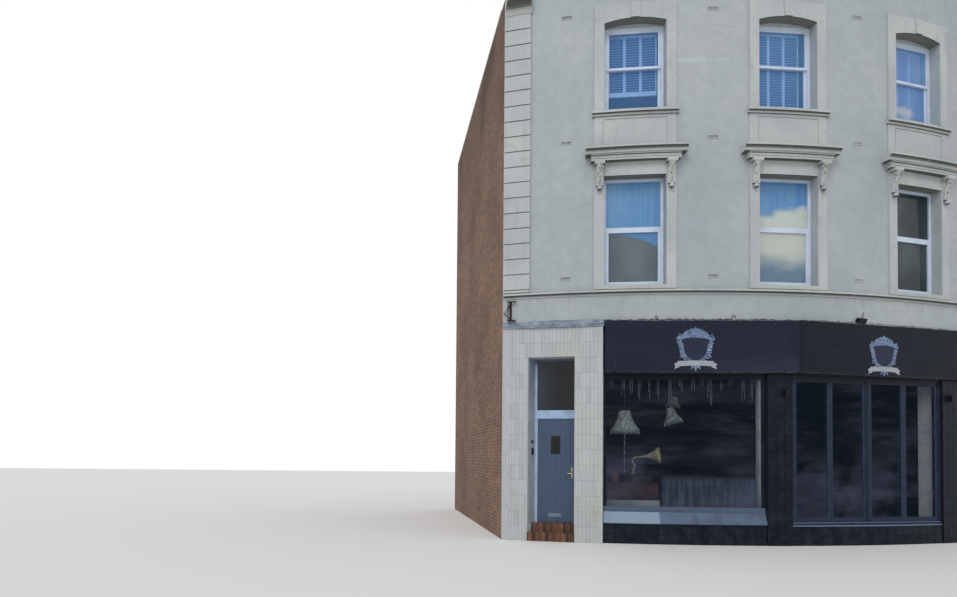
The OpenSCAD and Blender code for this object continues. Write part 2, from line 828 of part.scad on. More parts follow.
// The lever handle on its plate, the letter plate and the grille to look through
module door_furniture() {
    handle_z = leaf_z + 980;
    handle_x = leaf_right - 60;
    plate_t = 7;
    color("goldenrod") at_bow(-door_s) {
        translate([handle_x, leaf_y, handle_z]) {
            block([-19, -plate_t, -100], [19, 0, 120]);
            rotate([90, 0, 0]) cylinder(r = 9, h = 50);
            translate([0, -48, 0]) rotate([0, -90, 0]) cylinder(r = 9, h = 112);
        }
        block([-110, leaf_y - plate_t, leaf_z + 105], [150, leaf_y, leaf_z + 180]);
        translate([31, leaf_y, leaf_z + 1545]) block([-90, -14, -180], [90, 0, 180]);
    }
}

module plinth_walls() {
    color("black") {
        bow_block(seat - shop_left, -shop_right - seat, 0, front_t, 0, plinth_h);
        bow_block(fold_left + seat, fold_right - seat, 0, front_t, 0, plinth_h);
    }
}

sill_top = plinth_h + 220;

module shop_window_sill() {
    flat_in = glazing_in - sagitta(shop_w) - 8;
    color("slategray") bow_sweep(seat - shop_left, -shop_right - seat)
        translate([bow_r, plinth_h + seat]) polygon([
            [18, 0], [-glazing_in - 70, 0], [-glazing_in - 70, sill_top - plinth_h - seat],
            [-flat_in, sill_top - plinth_h - seat], [18, 22]
        ]);
}

shop_fit_w = fit_w(shop_w, glazing_in + 70);
shop_fit_h = beam_z - sill_top - 2 * seat;

module shop_window_frame() {
    color("black") at_bow(-shop_mid) translate([0, 0, sill_top + seat]) upright(glazing_in, glazing_in + 70)
        ring_outline(shop_fit_w, shop_fit_h, shop_frame_w, shop_frame_w * 2, shop_frame_w * 2);
}

module shop_window_glass() {
    color("lightblue", 0.5) at_bow(-shop_mid) translate([0, 0, sill_top + seat + 2 * shop_frame_w])
        pane(shop_fit_w - 2 * shop_frame_w, shop_fit_h - 4 * shop_frame_w, glazing_in + (70 - glass_t) / 2);
}

module tiled_pilasters() {
    color("black") for (ends = [[-shop_right, fold_left], [fold_right, shop_end]])
        bow_block(ends[0], ends[1], -tile_t, -seat, 0, fascia_z - 2);
}

fold_fit_w = fit_w(fold_w, glazing_in + 80);
fold_inner = (fold_fit_w - fold_post - 2 * shop_frame_w) / 4;
fold_fit_h = beam_z - plinth_h - 2 * seat;
fold_rail = 60;
fold_leaf_h = fold_fit_h - 2 * fold_rail - 2 * seat;

module fold_door_frame() {
    color("darkslategray") at_bow(fold_mid) translate([0, 0, plinth_h + seat])
        upright(glazing_in, glazing_in + 80) {
            ring_outline(fold_fit_w, fold_fit_h, shop_frame_w, fold_rail, fold_rail);
            translate([-fold_post / 2, 0]) square([fold_post, fold_fit_h]);
        }
}

// Left edges of the four folding leaves
function fold_x(i) = (i < 2 ? shop_frame_w - fold_fit_w / 2 : fold_post / 2) + (i % 2) * fold_inner;

module fold_door_leaves() {
    color("darkslategray") at_bow(fold_mid) for (i = [0:3])
        translate([fold_x(i) + fold_inner / 2, 0, plinth_h + fold_rail + 2 * seat])
            upright(glazing_in + 10, glazing_in + 66)
                ring_outline(fold_inner - 2, fold_leaf_h, fold_stile, fold_stile + 20, fold_stile);
}

module fold_door_glass() {
    y0 = glazing_in + 38 - glass_t / 2;
    color("lightblue", 0.5) at_bow(fold_mid) for (i = [0:3])
        translate([fold_x(i) + fold_inner / 2, 0, plinth_h + fold_rail + 2 * seat + fold_stile + 20])
            pane(fold_inner - 2 - 2 * fold_stile, fold_leaf_h - 2 * fold_stile - 20, y0);
}

// Flat boards, cut at the back in short flats to the bow of the wall
module fascia_boards() {
    joint = 2;
    flats = 20;
    slack = 0.4;
    color("black") for (ends = [[-shop_left, 2 * fold_left], [2 * fold_left, shop_end]]) {
        mid = (ends[0] + ends[1]) / 2;
        half = deg_at(ends[1] - ends[0] - 2 * joint) / 2;
        back_r = bow_r + seat + slack;
        at_bow(mid) translate([0, 0, fascia_z]) linear_extrude(fascia_h) polygon(concat(
            [[-back_r * sin(half), -fascia_t], [back_r * sin(half), -fascia_t]],
            [for (i = [0:flats]) let (a = half * (1 - 2 * i / flats))
                [back_r * sin(a), bow_r - back_r * cos(a)]]
        ));
    }
}

module display_plinth() {
    left = 135 - shop_w / 2;
    width = 1040;
    color("white") at_bow(-shop_mid)
        block([left, front_t + 100, shop_floor_h + seat], [left + width, front_t + 620, sill_top + 200]);
}

party_wall_left();
party_wall_right();
rear_wall_piers();
rear_wall_panels();
front_wall_piers();
front_wall_panels();
shop_piers();
shop_beam();
ground_floor();
first_floor();
second_floor();
roof_deck();
parapet_coping();
party_copings();
string_course();
quoin_piers();
pier_caps();
second_floor_surrounds();
keystones();
second_floor_sills();
apron_panels();
first_floor_architraves();
window_hoods();
hood_brackets();
air_bricks();
first_floor_frames();
first_floor_casements();
first_floor_glass();
second_floor_frames();
second_floor_sashes();
second_floor_glass();
rear_frames();
rear_glass();
rear_sills();
entrance_surround();
surround_flashing();
entrance_steps();
door_frame();
fanlight_glass();
door_hinges();
front_door();
door_furniture();
plinth_walls();
shop_window_sill();
shop_window_frame();
shop_window_glass();
tiled_pilasters();
fold_door_frame();
fold_door_leaves();
fold_door_glass();
fascia_boards();
display_plinth();
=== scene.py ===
import math
import random

import bpy
from mathutils import Matrix, Vector


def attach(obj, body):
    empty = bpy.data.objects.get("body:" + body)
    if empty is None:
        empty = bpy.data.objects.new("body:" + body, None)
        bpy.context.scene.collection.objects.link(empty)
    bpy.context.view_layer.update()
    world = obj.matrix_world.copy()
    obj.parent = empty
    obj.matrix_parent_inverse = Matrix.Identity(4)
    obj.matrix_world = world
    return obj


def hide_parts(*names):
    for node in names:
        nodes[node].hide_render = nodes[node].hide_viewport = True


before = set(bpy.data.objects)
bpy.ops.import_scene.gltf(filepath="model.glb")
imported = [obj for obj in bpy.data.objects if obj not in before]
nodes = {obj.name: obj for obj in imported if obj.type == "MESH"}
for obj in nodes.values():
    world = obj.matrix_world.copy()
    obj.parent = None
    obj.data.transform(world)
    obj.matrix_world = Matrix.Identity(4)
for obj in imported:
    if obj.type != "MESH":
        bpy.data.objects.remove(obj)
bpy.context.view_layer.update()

# --- Where it stands and how it is seen ---
# The house stands on a pale floor. It is seen from across the street, at eye height and well to its
# left, through a wide lens that is shifted up to take in the windows of all three storeys.
scene = bpy.context.scene
scene.view_settings.view_transform = "Standard"


def moved(x=0, y=0, z=0):
    return Matrix.Translation((x, y, z))


def spun(degrees, axis):
    return Matrix.Rotation(math.radians(degrees), 4, axis)


EYE = (-7.918, -16.963, 1.62)
HEADING, TIP_UP, LEAN = -4.414, 91.55, 0.59
camera_data = bpy.data.cameras.new("street_view")
camera_data.sensor_width, camera_data.lens = 36, 25.58
camera_data.shift_x, camera_data.shift_y = 0.0528, 0.1468
camera_data.clip_end = 200
camera = bpy.data.objects.new("street_view", camera_data)
camera.matrix_world = moved(*EYE) @ spun(HEADING, "Z") @ spun(TIP_UP, "X") @ spun(LEAN, "Z")
scene.collection.objects.link(camera)
scene.camera = camera


def srgb(*levels):
    """A colour written as 0 to 255, as the values that a shader takes."""
    return tuple(((v / 255 + 0.055) / 1.055) ** 2.4 if v > 10 else v / 3294.6 for v in levels)


class Tone:
    """A socket of a finish's tree. Arithmetic on it adds the Math nodes."""

    def __init__(self, tree, socket):
        self.tree, self.socket = tree, socket

    def node(self, kind, settings=(), inputs=(), out=0):
        """Adds a node with its settings first, then the values or links of its sockets."""
        made = self.tree.nodes.new("ShaderNode" + kind)
        for name, value in dict(settings).items():
            setattr(made, name, value)
        for name, value in dict(inputs).items():
            socket = made.inputs[name]
            if isinstance(value, Tone):
                self.tree.links.new(value.socket, socket)
            elif isinstance(value, tuple) and len(value) < len(socket.default_value):
                socket.default_value = (*value, 1)
            else:
                socket.default_value = value
        return Tone(self.tree, made.outputs[out])

    def maths(self, operation, *others):
        return self.node("Math", {"operation": operation}, enumerate((self, *others)))

    __add__ = __radd__ = lambda self, other: self.maths("ADD", other)
    __mul__ = __rmul__ = lambda self, other: self.maths("MULTIPLY", other)
    __sub__ = lambda self, other: self.maths("SUBTRACT", other)
    __rsub__ = lambda self, other: self.node("Math", {"operation": "SUBTRACT"}, {0: other, 1: self})
    __truediv__ = lambda self, other: self.maths("DIVIDE", other)
    __mod__ = lambda self, other: self.maths("FLOORED_MODULO", other)
    __gt__ = lambda self, other: self.maths("GREATER_THAN", other)
    __lt__ = lambda self, other: self.maths("LESS_THAN", other)
    __abs__ = lambda self: self.maths("ABSOLUTE")

    def clip(self):
        return self.maths("MINIMUM", 1.0).maths("MAXIMUM", 0.0)

    def rise(self, low, high):
        """0 below low, 1 above high, and a soft ramp between. With high below low it falls."""
        if high < low:
            return 1 - self.rise(high, low)
        return self.node("MapRange", {"interpolation_type": "SMOOTHSTEP"},
                         {"Value": self, "From Min": low, "From Max": high})

    def band(self, low, high, soft):
        """1 between low and high, fading over soft on both sides."""
        return self.rise(low - soft, low) * self.rise(high + soft, high)

    def axis(self, name):
        return self.node("SeparateXYZ", (), {0: self}, out=name)

    def scaled(self, *sizes):
        return self.node("VectorMath", {"operation": "MULTIPLY"}, {0: self, 1: sizes})

    def noise(self, scale, detail=3, rough=0.5):
        inputs = {"Vector": self, "Scale": scale, "Detail": detail, "Roughness": rough}
        return self.node("TexNoise", (), inputs)

    def blend(self, first, second):
        """The first colour where this is 0 and the second where it is 1."""
        return self.node("Mix", {"data_type": "RGBA"}, {0: self, 6: first, 7: second}, out=2)

    def times(self, colour):
        """This colour multiplied by another one."""
        return self.node("Mix", {"data_type": "RGBA", "blend_type": "MULTIPLY"},
                         {0: 1.0, 6: self, 7: colour}, out=2)


BOW_R, BOW_CENTRE_Y = 14.5, 10.0
BAYS = (-2.96, 0.0, 2.96)


def at_bow(along):
    """The place on the wall face at a length along the front, with the street towards -Y."""
    return moved(y=BOW_CENTRE_Y) @ Matrix.Rotation(along / BOW_R, 4, "Z") @ moved(y=-BOW_R)


class Finish:
    """A material with one surface shader, and places on the house to vary it by."""

    def __init__(self, name, roughness=0.5, **sockets):
        self.material = bpy.data.materials.new(name)
        self.material.use_nodes = True
        self.tree = self.material.node_tree
        self.shader = self.tree.nodes["Principled BSDF"]
        self.put("Roughness", roughness)
        for socket, value in sockets.items():
            self.put(socket.replace("_", " "), value)
        coordinates = self.tree.nodes.new("ShaderNodeTexCoord")
        self.place = Tone(self.tree, coordinates.outputs["Object"])
        self.facing = Tone(self.tree, coordinates.outputs["Normal"])

    def put(self, socket, value):
        target = self.shader.inputs[socket]
        if isinstance(value, Tone):
            self.tree.links.new(value.socket, target)
        else:
            target.default_value = (*value, 1) if isinstance(value, tuple) else value

    def bump(self, height, depth):
        """Raises the surface by the height, from 0 to 1, times the depth in metres."""
        self.put("Normal", height.node("Bump", (), {"Height": height, "Distance": depth, "Strength": 1.0},
                                       out="Normal"))

    def axes(self):
        """Across, towards the rear, and up."""
        return [self.place.axis(name) for name in "XYZ"]

    def over_front(self):
        """The place measured on the bowed front: along it, out from its centre, and up."""
        across, back, up = self.axes()
        inward = BOW_CENTRE_Y - back
        return across.maths("ARCTAN2", inward) * BOW_R, (across * across + inward * inward).maths("SQRT"), up

    def vector(self, x, y, z):
        return self.place.node("CombineXYZ", (), {"X": x, "Y": y, "Z": z})


def speckled(name, noise, first, second, rise=None, bump=None, **sockets):
    """A finish that goes from one colour to another in soft specks. The noise is its scale, detail
    and roughness, and the bump is a scale, a detail and a depth in metres."""
    finish = Finish(name, **sockets)
    specks = finish.place.noise(*noise)
    specks = specks.rise(*rise) if rise else specks
    finish.put("Base Color", specks.blend(srgb(*first), srgb(*second)))
    if bump:
        finish.bump(finish.place.noise(*bump[:2]), bump[2])
    return finish


def paint(finish, *names):
    """Gives the named CAD nodes this finish."""
    for name in names:
        for slot in nodes[name].material_slots:
            slot.link = "OBJECT"
            slot.material = finish.material


FLOOR_HALF = 60
floor_mesh = bpy.data.meshes.new("studio_floor")
floor_mesh.from_pydata([(x * FLOOR_HALF, y * FLOOR_HALF, 0) for x, y in ((-1, -1), (1, -1), (1, 1), (-1, 1))],
                       [], [(0, 1, 2, 3)])
studio_floor = bpy.data.objects.new("studio_floor", floor_mesh)
scene.collection.objects.link(studio_floor)
floor_paper = Finish("floor_paper", 0.9, Base_Color=srgb(226, 226, 226))
floor_mesh.materials.append(floor_paper.material)

world = bpy.data.worlds.new("studio_air")
scene.world = world
world.use_nodes = True
air = world.node_tree
backdrop = air.nodes["Background"]
light_path = air.nodes.new("ShaderNodeLightPath")
to_camera, through_glass, mirrored = (Tone(air, light_path.outputs[f"Is {ray} Ray"])
                                      for ray in ("Camera", "Transmission", "Glossy"))
SKY_LIGHT, SKY_GLOSS = 0.70, 0.85
level = to_camera.maths("MAXIMUM", through_glass) * (1 - SKY_LIGHT) + SKY_LIGHT
level = level.maths("MAXIMUM", mirrored * SKY_GLOSS)
backdrop.inputs["Color"].default_value = (1, 1, 1, 1)
air.links.new(level.socket, backdrop.inputs["Strength"])

lamp_data = bpy.data.lights.new("soft_lamp", "SUN")
lamp_data.energy, lamp_data.angle = 0.95, math.radians(28)
lamp = bpy.data.objects.new("soft_lamp", lamp_data)
lamp.rotation_euler = (math.radians(48), 0, math.radians(-28))
scene.collection.objects.link(lamp)

# --- Party walls and rear wall ---
# Plain brick walls, one brick thick at the sides, laid in lime mortar in stretcher courses.
# Soot and rain have darkened them towards the top. Inside, they are plastered and painted pale, and
# in the shop they are dark, a painted shade.
BRICK_LONG, BRICK_COURSE, BRICK_JOINT = 0.2275, 0.075, 0.006
PARTY_FACE, REAR_FACE = 5.387 - 0.230, 4.5 - 0.280
SKIN = 0.004
ROOM_LOW, ROOM_HIGH, SHOP_CEILING = 0.3, 10.66, 4.12
# The dark tone inside the shop, below its ceiling, is painted shade.
PALE_ROOM, SHOP_SHADE = (206, 202, 192), srgb(34, 34, 38)

brickwork = Finish("old_brick", 0.9)
across, back, up = brickwork.axes()
sideways = abs(brickwork.facing.axis("X")) > 0.5
laid = brickwork.vector(sideways * back + (1 - sideways) * across, up, 0.0)
bricks = dict(settings={"offset": 0.5, "squash": 1.0},
              inputs={"Vector": laid, "Scale": 1.0, "Mortar Size": BRICK_JOINT, "Mortar Smooth": 0.35,
                      "Brick Width": BRICK_LONG, "Row Height": BRICK_COURSE, "Bias": 0.0,
                      "Color1": srgb(150, 108, 84), "Color2": srgb(118, 84, 68),
                      "Mortar": srgb(158, 150, 136)})
brick_gap = laid.node("TexBrick", out="Fac", **bricks)
soot = up.rise(7.0, 11.5) * 0.5 + brickwork.place.noise(0.6, 4).rise(0.4, 0.7) * 0.45
weathered = laid.node("TexBrick", **bricks).times(soot.clip().blend((1, 1, 1), srgb(140, 134, 130)))
speckles = brickwork.place.noise(9, 4, 0.7).rise(0.3, 0.75)
indoors = ((abs(across) < PARTY_FACE + SKIN) * (back < REAR_FACE + SKIN) * (up < ROOM_HIGH) * (up > ROOM_LOW))
plaster = brickwork.place.noise(0.9, 4, 0.6).rise(0.25, 0.75).blend(
    *(tuple(c * shift for c in srgb(*PALE_ROOM)) for shift in (0.95, 1.05)))
brickwork.put("Base Color", indoors.blend(weathered.times(speckles.blend(srgb(205, 205, 205), (1, 1, 1))),
                                          (up < SHOP_CEILING).blend(plaster, SHOP_SHADE)))
brick_relief = (1 - brick_gap) * 0.8 + brickwork.place.noise(40, 4, 0.6) * 0.2
brickwork.bump(brick_relief * (1 - indoors) + indoors * 0.8, 0.006)
paint(brickwork, "party_wall_left", "party_wall_right", "rear_wall_piers", "rear_wall_panels")

# --- Bowed front wall ---
# Brick under smooth cement render, painted many times. The paint is uneven, rain has left dirty runs
# under every ledge, and the render has fine cracks. Inside, the wall is plastered, and in the shop it
# is dark as painted shade.
INNER_R = BOW_R - 0.35
SHOP_LEFT, SHOP_RIGHT, BEAM_TOP = -3.546, 4.424, 4.302
# Each ledge is its place along the front, half width, height, and the length of the runs under it.
LEDGES = ([(bay, 0.85, 8.36, 0.9) for bay in BAYS] + [(bay, 1.0, 7.45, 0.7) for bay in BAYS]
          + [(0, 5.5, 4.82, 0.5), (0, 5.5, 11.45, 0.8)])

render_coat = Finish("painted_render", 0.72)
along, out, up = render_coat.over_front()
on_wall = render_coat.vector(along, out, up)
base = on_wall.noise(0.45, 5, 0.55).rise(0.3, 0.72).blend(srgb(164, 173, 178), srgb(178, 185, 187))
base = (on_wall.noise(1.7, 3, 0.6).rise(0.55, 0.8) * 0.35).blend(base, srgb(157, 171, 183))
rough_patch = on_wall.noise(5.5, 5, 0.65).rise(0.35, 0.65)
base = base.times(rough_patch.blend(srgb(246, 246, 246), (1, 1, 1)))
runs = None
for middle, half, top, length in LEDGES:
    below = along.band(middle - half, middle + half, 0.04) * up.rise(top - length, top) * (up < top)
    runs = runs.maths("MAXIMUM", below) if runs else below
runs = runs * render_coat.vector(along * 9, 0.0, up * 0.5).noise(1.0, 4, 0.7).rise(0.5, 0.78)
base = (runs * 0.45).blend(base, srgb(132, 132, 124))
crack_place = render_coat.vector(along + on_wall.noise(3, 3) * 0.5, 0.0, up * 0.8)
cells = crack_place.node("TexVoronoi", {"feature": "DISTANCE_TO_EDGE"},
                         {"Vector": crack_place, "Scale": 0.42})
cracks = (cells < 0.0010) * on_wall.noise(0.5, 2).rise(0.52, 0.58)
base = (cracks * 0.16).blend(base, srgb(112, 110, 104))
# A long crack between the upper windows has been filled with a paler paste.
filler = along.band(-2.25, -1.18, 0.05) * up.band(9.375, 9.425, 0.018)
filler = filler * on_wall.noise(9, 4, 0.6).rise(0.36, 0.52)
base = (filler * 0.55).blend(base, srgb(184, 202, 210))
# Faces turned down are darkened: painted shade under the ledges.
base = base.times((render_coat.facing.axis("Z") < -0.4).blend((1, 1, 1), srgb(176, 168, 154)))
base = (along.band(SHOP_LEFT, SHOP_RIGHT, 0.001) * (up < BEAM_TOP)).blend(base, srgb(15, 21, 32))
base = (out < INNER_R + SKIN).blend(base, (up < SHOP_CEILING).blend(srgb(*PALE_ROOM), SHOP_SHADE))
render_coat.put("Base Color", base)
render_coat.put("Roughness", on_wall.noise(3, 3).rise(0.3, 0.7) * 0.2 + 0.6)
render_coat.bump(on_wall.noise(1.3, 4) * 0.7 + on_wall.noise(55, 3, 0.6) * 0.12 + rough_patch * 0.12
                 - cracks * 0.1, 0.012)
paint(render_coat, "front_wall_piers", "front_wall_panels", "shop_piers", "shop_beam")

# --- Floors and roof ---
# Boarded upper floors over a tiled shop floor. The roof falls slightly to the rear and is covered in
# torched felt, laid in metre-wide strips with lapped seams and a scatter of mineral chips.
BOARD_W, TILE = 0.14, 0.4
ROOF_HIGH, ROOF_LOW, ROOF_HALF_DEPTH = 10.65, 10.55, 4.5
FELT_T, FELT_GAP, FELT_LAP = 0.006, 0.02, 0.08

boards = Finish("floor_boards", 0.55)
across, back, up = boards.axes()
board_index = (across / BOARD_W).maths("FLOOR")
board_tone = board_index.node("TexWhiteNoise", {"noise_dimensions": "1D"}, {"W": board_index})
grain = boards.vector(across * 22, back * 1.3, board_index * 3.7).noise(1.0, 5, 0.6)
timber = (grain * 0.6 + board_tone * 0.4).blend(srgb(96, 66, 42), srgb(158, 116, 78))
gap_mask = abs(across % BOARD_W - BOARD_W / 2) > BOARD_W / 2 - 0.0035
# The ceiling over the shop is dark: painted shade.
ceiling_tone_and_shop_shade = (up < 5).blend(srgb(214, 212, 204), srgb(38, 38, 42))
boards.put("Base Color", (boards.facing.axis("Z") < -0.5).blend(gap_mask.blend(timber, srgb(30, 22, 16)),
                                                                ceiling_tone_and_shop_shade))
boards.bump((1 - gap_mask) * 0.9 + grain * 0.1, 0.003)
paint(boards, "first_floor", "second_floor")

shop_tiles = Finish("shop_floor_tiles", 0.35)
off_x, off_y = (abs(shop_tiles.place.axis(name) % TILE - TILE / 2) for name in "XY")
grout = off_x.maths("MAXIMUM", off_y).rise(TILE / 2 - 0.006, TILE / 2 - 0.003)
clay = shop_tiles.place.noise(2.4, 4).blend(srgb(50, 48, 48), srgb(70, 66, 64))
shop_tiles.put("Base Color", grout.blend(clay, srgb(40, 39, 39)))
shop_tiles.put("Roughness", grout * 0.5 + 0.3)
shop_tiles.bump(1 - grout, 0.002)
paint(shop_tiles, "ground_floor")


def grid(rows, columns, ring=False):
    """The faces between rows + 1 lines of points. The lines of a ring close on themselves."""
    n = columns if ring else columns + 1
    return [(j * n + i, (j + 1) * n + i, (j + 1) * n + (i + 1) % n, j * n + (i + 1) % n)
            for j in range(rows) for i in range(columns)]


class Shape:
    """Verts and faces of one piece, gathered from simple solids that each have a place."""

    def __init__(self):
        self.verts, self.faces = [], []

    def add(self, verts, faces, place=None):
        start = len(self.verts)
        self.verts += [place @ Vector(v) if place else Vector(v) for v in verts]
        self.faces += [tuple(start + i for i in face) for face in faces]

    def loft(self, rings, place=None, ends=(True, True)):
        """Joins closed lines of points, and closes the first and the last one."""
        n, last = len(rings[0]), len(rings[0]) * (len(rings) - 1)
        faces = grid(len(rings) - 1, n, ring=True)
        faces += [face for face, closed in zip((range(n), range(last + n - 1, last - 1, -1)), ends) if closed]
        self.add([point for ring in rings for point in ring], faces, place)

    def box(self, low, high, place=None, edge=0.0):
        """A block, with its edges taken off by edge."""
        points = 3 if edge else 1
        corners = [(x, y, z) for z in (0, 1) for y in (0, 1) for x in (0, 1)]
        verts = [[(high if c[a] else low)[a] + (0 if a == side else edge) * (1 - 2 * c[a]) for a in range(3)]
                 for c in corners for side in range(points)]
        faces = []
        for a in range(3):
            b, c = (a + 1) % 3, (a + 2) % 3

            def at(end, p, q, side):
                corner = (end << a) + (p << b) + (q << c)
                return corner * points + side % points

            for p, q in ((0, 0), (1, 0), (1, 1), (0, 1)):
                strip = (at(0, p, q, b), at(0, p, q, c), at(1, p, q, c), at(1, p, q, b))
                faces += [strip if p == q else strip[::-1]] if edge else []
            for end in (0, 1):
                flat = [at(end, p, q, a) for p, q in ((0, 0), (1, 0), (1, 1), (0, 1))]
                faces.append(flat if end else flat[::-1])
        for k, corner in enumerate(corners if edge else ()):
            tip = (k * 3, k * 3 + 1, k * 3 + 2)
            faces.append(tip if sum(corner) % 2 else tip[::-1])
        self.add(verts, faces, place)

    def boxes(self, place, edge, *blocks):
        """Blocks that share a place and an edge."""
        for low, high in blocks:
            self.box(low, high, place, edge)

    def turned(self, profile, place=None, steps=24):
        """A profile of (radius, height) points turned about the upright axis."""
        rings = [[(r * math.cos(math.tau * i / steps), r * math.sin(math.tau * i / steps), z)
                  for i in reversed(range(steps))] for r, z in profile]
        self.loft(rings, place, (profile[0][0] > 0, profile[-1][0] > 0))

    def tube(self, points, radius, sides=8, place=None):
        """A round rod along points, with a radius for all or for each point."""
        points = [Vector(p) for p in points]
        radii = radius if isinstance(radius, list) else [radius] * len(points)
        rings, side = [], None
        for i, (point, r) in enumerate(zip(points, radii)):
            ahead = (points[min(i + 1, len(points) - 1)] - points[max(i - 1, 0)]).normalized()
            if side is None:
                side = ahead.cross(Vector((0.3, 0.2, 1) if abs(ahead.z) < 0.9 else (1, 0, 0.1))).normalized()
            side = (side - ahead * side.dot(ahead)).normalized()
            other = ahead.cross(side)
            turns = [math.tau * k / sides for k in reversed(range(sides))]
            rings.append([point + r * (math.cos(turn) * side + math.sin(turn) * other) for turn in turns])
        self.loft(rings, place)

    def piece(self, name, finish, slot, body="house", smooth=False):
        """The mesh in the house's frame, with its finish and the body that it rides on. The slot is not used.
        """
        mesh = bpy.data.meshes.new(name)
        mesh.from_pydata([tuple(v) for v in self.verts], [], self.faces)
        mesh.materials.append(finish.material)
        mesh.validate()
        if smooth:
            mesh.shade_smooth()
        made = bpy.data.objects.new(name, mesh)
        scene.collection.objects.link(made)
        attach(made, body)
        return made


felt = Finish("roofing_felt", 0.85)
chips = felt.place.noise(160, 2, 0.7).rise(0.45, 0.62)
faded = felt.place.noise(0.7, 4).rise(0.35, 0.7)
felt_colour = chips.blend(faded.blend(srgb(70, 74, 78), srgb(88, 91, 93)), srgb(124, 126, 126))
seam = abs(felt.place.axis("X") % 1.0 - 0.5) > 0.485
felt.put("Base Color", felt_colour.times((seam * 0.5).blend((1, 1, 1), srgb(120, 120, 120))))
felt.bump(chips * 0.25 + faded * 0.2, 0.004)
paint(felt, "roof_deck")

strips = Shape()
for i in range(-5, 5):
    left = max(i + FELT_GAP, -PARTY_FACE + FELT_GAP)
    right = min(i + 1 + FELT_LAP, PARTY_FACE - FELT_GAP)
    rear = ROOF_HALF_DEPTH - FELT_GAP
    plan = [(left, rear), (right, rear)]
    plan += [(x, BOW_CENTRE_Y - math.sqrt((INNER_R - FELT_GAP) ** 2 - x * x)) for x in (right, left)]
    fall = (ROOF_LOW - ROOF_HIGH) / (2 * ROOF_HALF_DEPTH)
    strips.loft([[(x, y, ROOF_HIGH + fall * (y + ROOF_HALF_DEPTH) + lift) for x, y in plan]
                 for lift in (0, FELT_T * (1 + i % 2))])
strips.piece("felt_strips", felt, "roof_felt")

# --- Copings and rear sills ---
# Precast stones bedded on the parapet and the party walls, weathered and spotted with lichen. The
# sills under the rear windows are of the same stone, built into the brickwork.
stone = Finish("coping_stone", 0.85)
spots = stone.place.noise(11, 5, 0.7).rise(0.58, 0.66)
grey = stone.place.noise(5, 4).rise(0.3, 0.7).blend(srgb(128, 128, 122), srgb(158, 157, 150))
grey = (stone.place.noise(2.2, 4, 0.6).rise(0.5, 0.72) * 0.7).blend(grey, srgb(84, 86, 70))
stone.put("Base Color", (spots * 0.75).blend(grey, srgb(186, 184, 166)))
stone.bump(stone.place.noise(35, 4, 0.6) * 0.5 + spots * 0.3, 0.006)
paint(stone, "parapet_coping", "party_copings", "rear_sills")

# --- Run mouldings of the front ---
# String course, quoins, caps, bands, keystones, sills and aprons, run or cast in cement and painted
# with the wall. Dirt and brown algae lie on their tops, where rain hangs. Their undersides are
# darkened almost all over, with dirt and painted shade.
moulding = Finish("painted_moulding", 0.7)
along, out, up = moulding.over_front()
on_front = moulding.vector(along, out, up)
underside_in_shade = moulding.facing.axis("Z").rise(-0.2, -0.7)
turned_up = moulding.facing.axis("Z").rise(0.3, 0.8)
shade = on_front.noise(0.8, 4).rise(0.3, 0.7).blend(srgb(173, 180, 182), srgb(188, 193, 194))
grime_and_shade = on_front.noise(6, 5, 0.7)
shade = (grime_and_shade.rise(0.5, 0.75) * 0.35).blend(shade, srgb(140, 140, 133))
shade = (turned_up * grime_and_shade.rise(0.3, 0.6) * 0.8).blend(shade, srgb(92, 92, 82))
# Faces turned down are darkened almost all over: dirt and painted shade.
shade = (underside_in_shade * grime_and_shade.rise(0.1, 0.45) * 0.92).blend(shade, srgb(70, 66, 58))
ledge_runs = moulding.vector(along * 14, 0.0, up * 0.8).noise(1.0, 4, 0.7).rise(0.52, 0.75)
moulding.put("Base Color", (ledge_runs * 0.35 * (1 - turned_up)).blend(shade, srgb(138, 135, 124)))
moulding.bump(on_front.noise(28, 4, 0.65) * 0.5 + on_front.noise(4, 3) * 0.5, 0.006)
paint(moulding, "string_course", "quoin_piers", "pier_caps", "second_floor_surrounds", "keystones",
      "second_floor_sills", "apron_panels", "first_floor_architraves", "window_hoods", "hood_brackets",
      "air_bricks")

# --- Carving on the brackets ---
# Each bracket under a hood has an acanthus leaf down its hollow front, a scroll with a round eye on both
# sides, and a row of beads under its head. They are cast in cement and bedded on, under the same paint.
BRACKET_SET_OUT, BRACKET_FOOT = 0.677, 6.8547
BRACKET_BACK, BRACKET_HALF = 0.0285, 0.065
STEM_OUT, SCROLL_OUT, SWELL = 0.046, 0.136, 0.12
LEAF_LOW, LEAF_HIGH = 0.116, 0.506
LEAF_ROWS, LEAF_COLUMNS, LEAF_LOBES = 44, 12, 5
COIL_R, COIL_POINTS, COIL_SKIP, COIL_ROD = 0.044, 45, 6, 0.0052
EYE_OUT, EYE_UP = BRACKET_BACK + 0.085, 0.452
BEADS, BEAD_R, BEAD_STEP, BEAD_OUT, BEAD_UP = 9, 0.0085, 0.021, BRACKET_BACK + 0.141, 0.4972

carved_cement = Finish("carved_cement", 0.72)
# Dark specks stand for dirt and for the shade in the carving's hollows: partly painted shade.
hollow_shade_and_dirt = carved_cement.place.noise(27, 3, 0.6).rise(0.50, 0.60)
carved_tone = carved_cement.place.noise(4, 4).rise(0.3, 0.7).blend(srgb(180, 183, 180), srgb(198, 200, 196))
carved_cement.put("Base Color", (hollow_shade_and_dirt * 0.72).blend(carved_tone, srgb(86, 84, 76)))
carved_cement.bump(carved_cement.place.noise(60, 3) * 0.4 - hollow_shade_and_dirt * 0.6, 0.004)


def bracket_front(t):
    """How far out, and how high, the bracket's hollow front lies from the leaf's foot, 0, to its head, 1."""
    turn = math.pi / 2 * t ** 1.5
    curl = (1 - math.cos(turn)) * (1 + SWELL * math.sin(2 * turn))
    out = BRACKET_BACK + STEM_OUT + (SCROLL_OUT - STEM_OUT) * curl
    return out, LEAF_LOW + (LEAF_HIGH - LEAF_LOW) * t


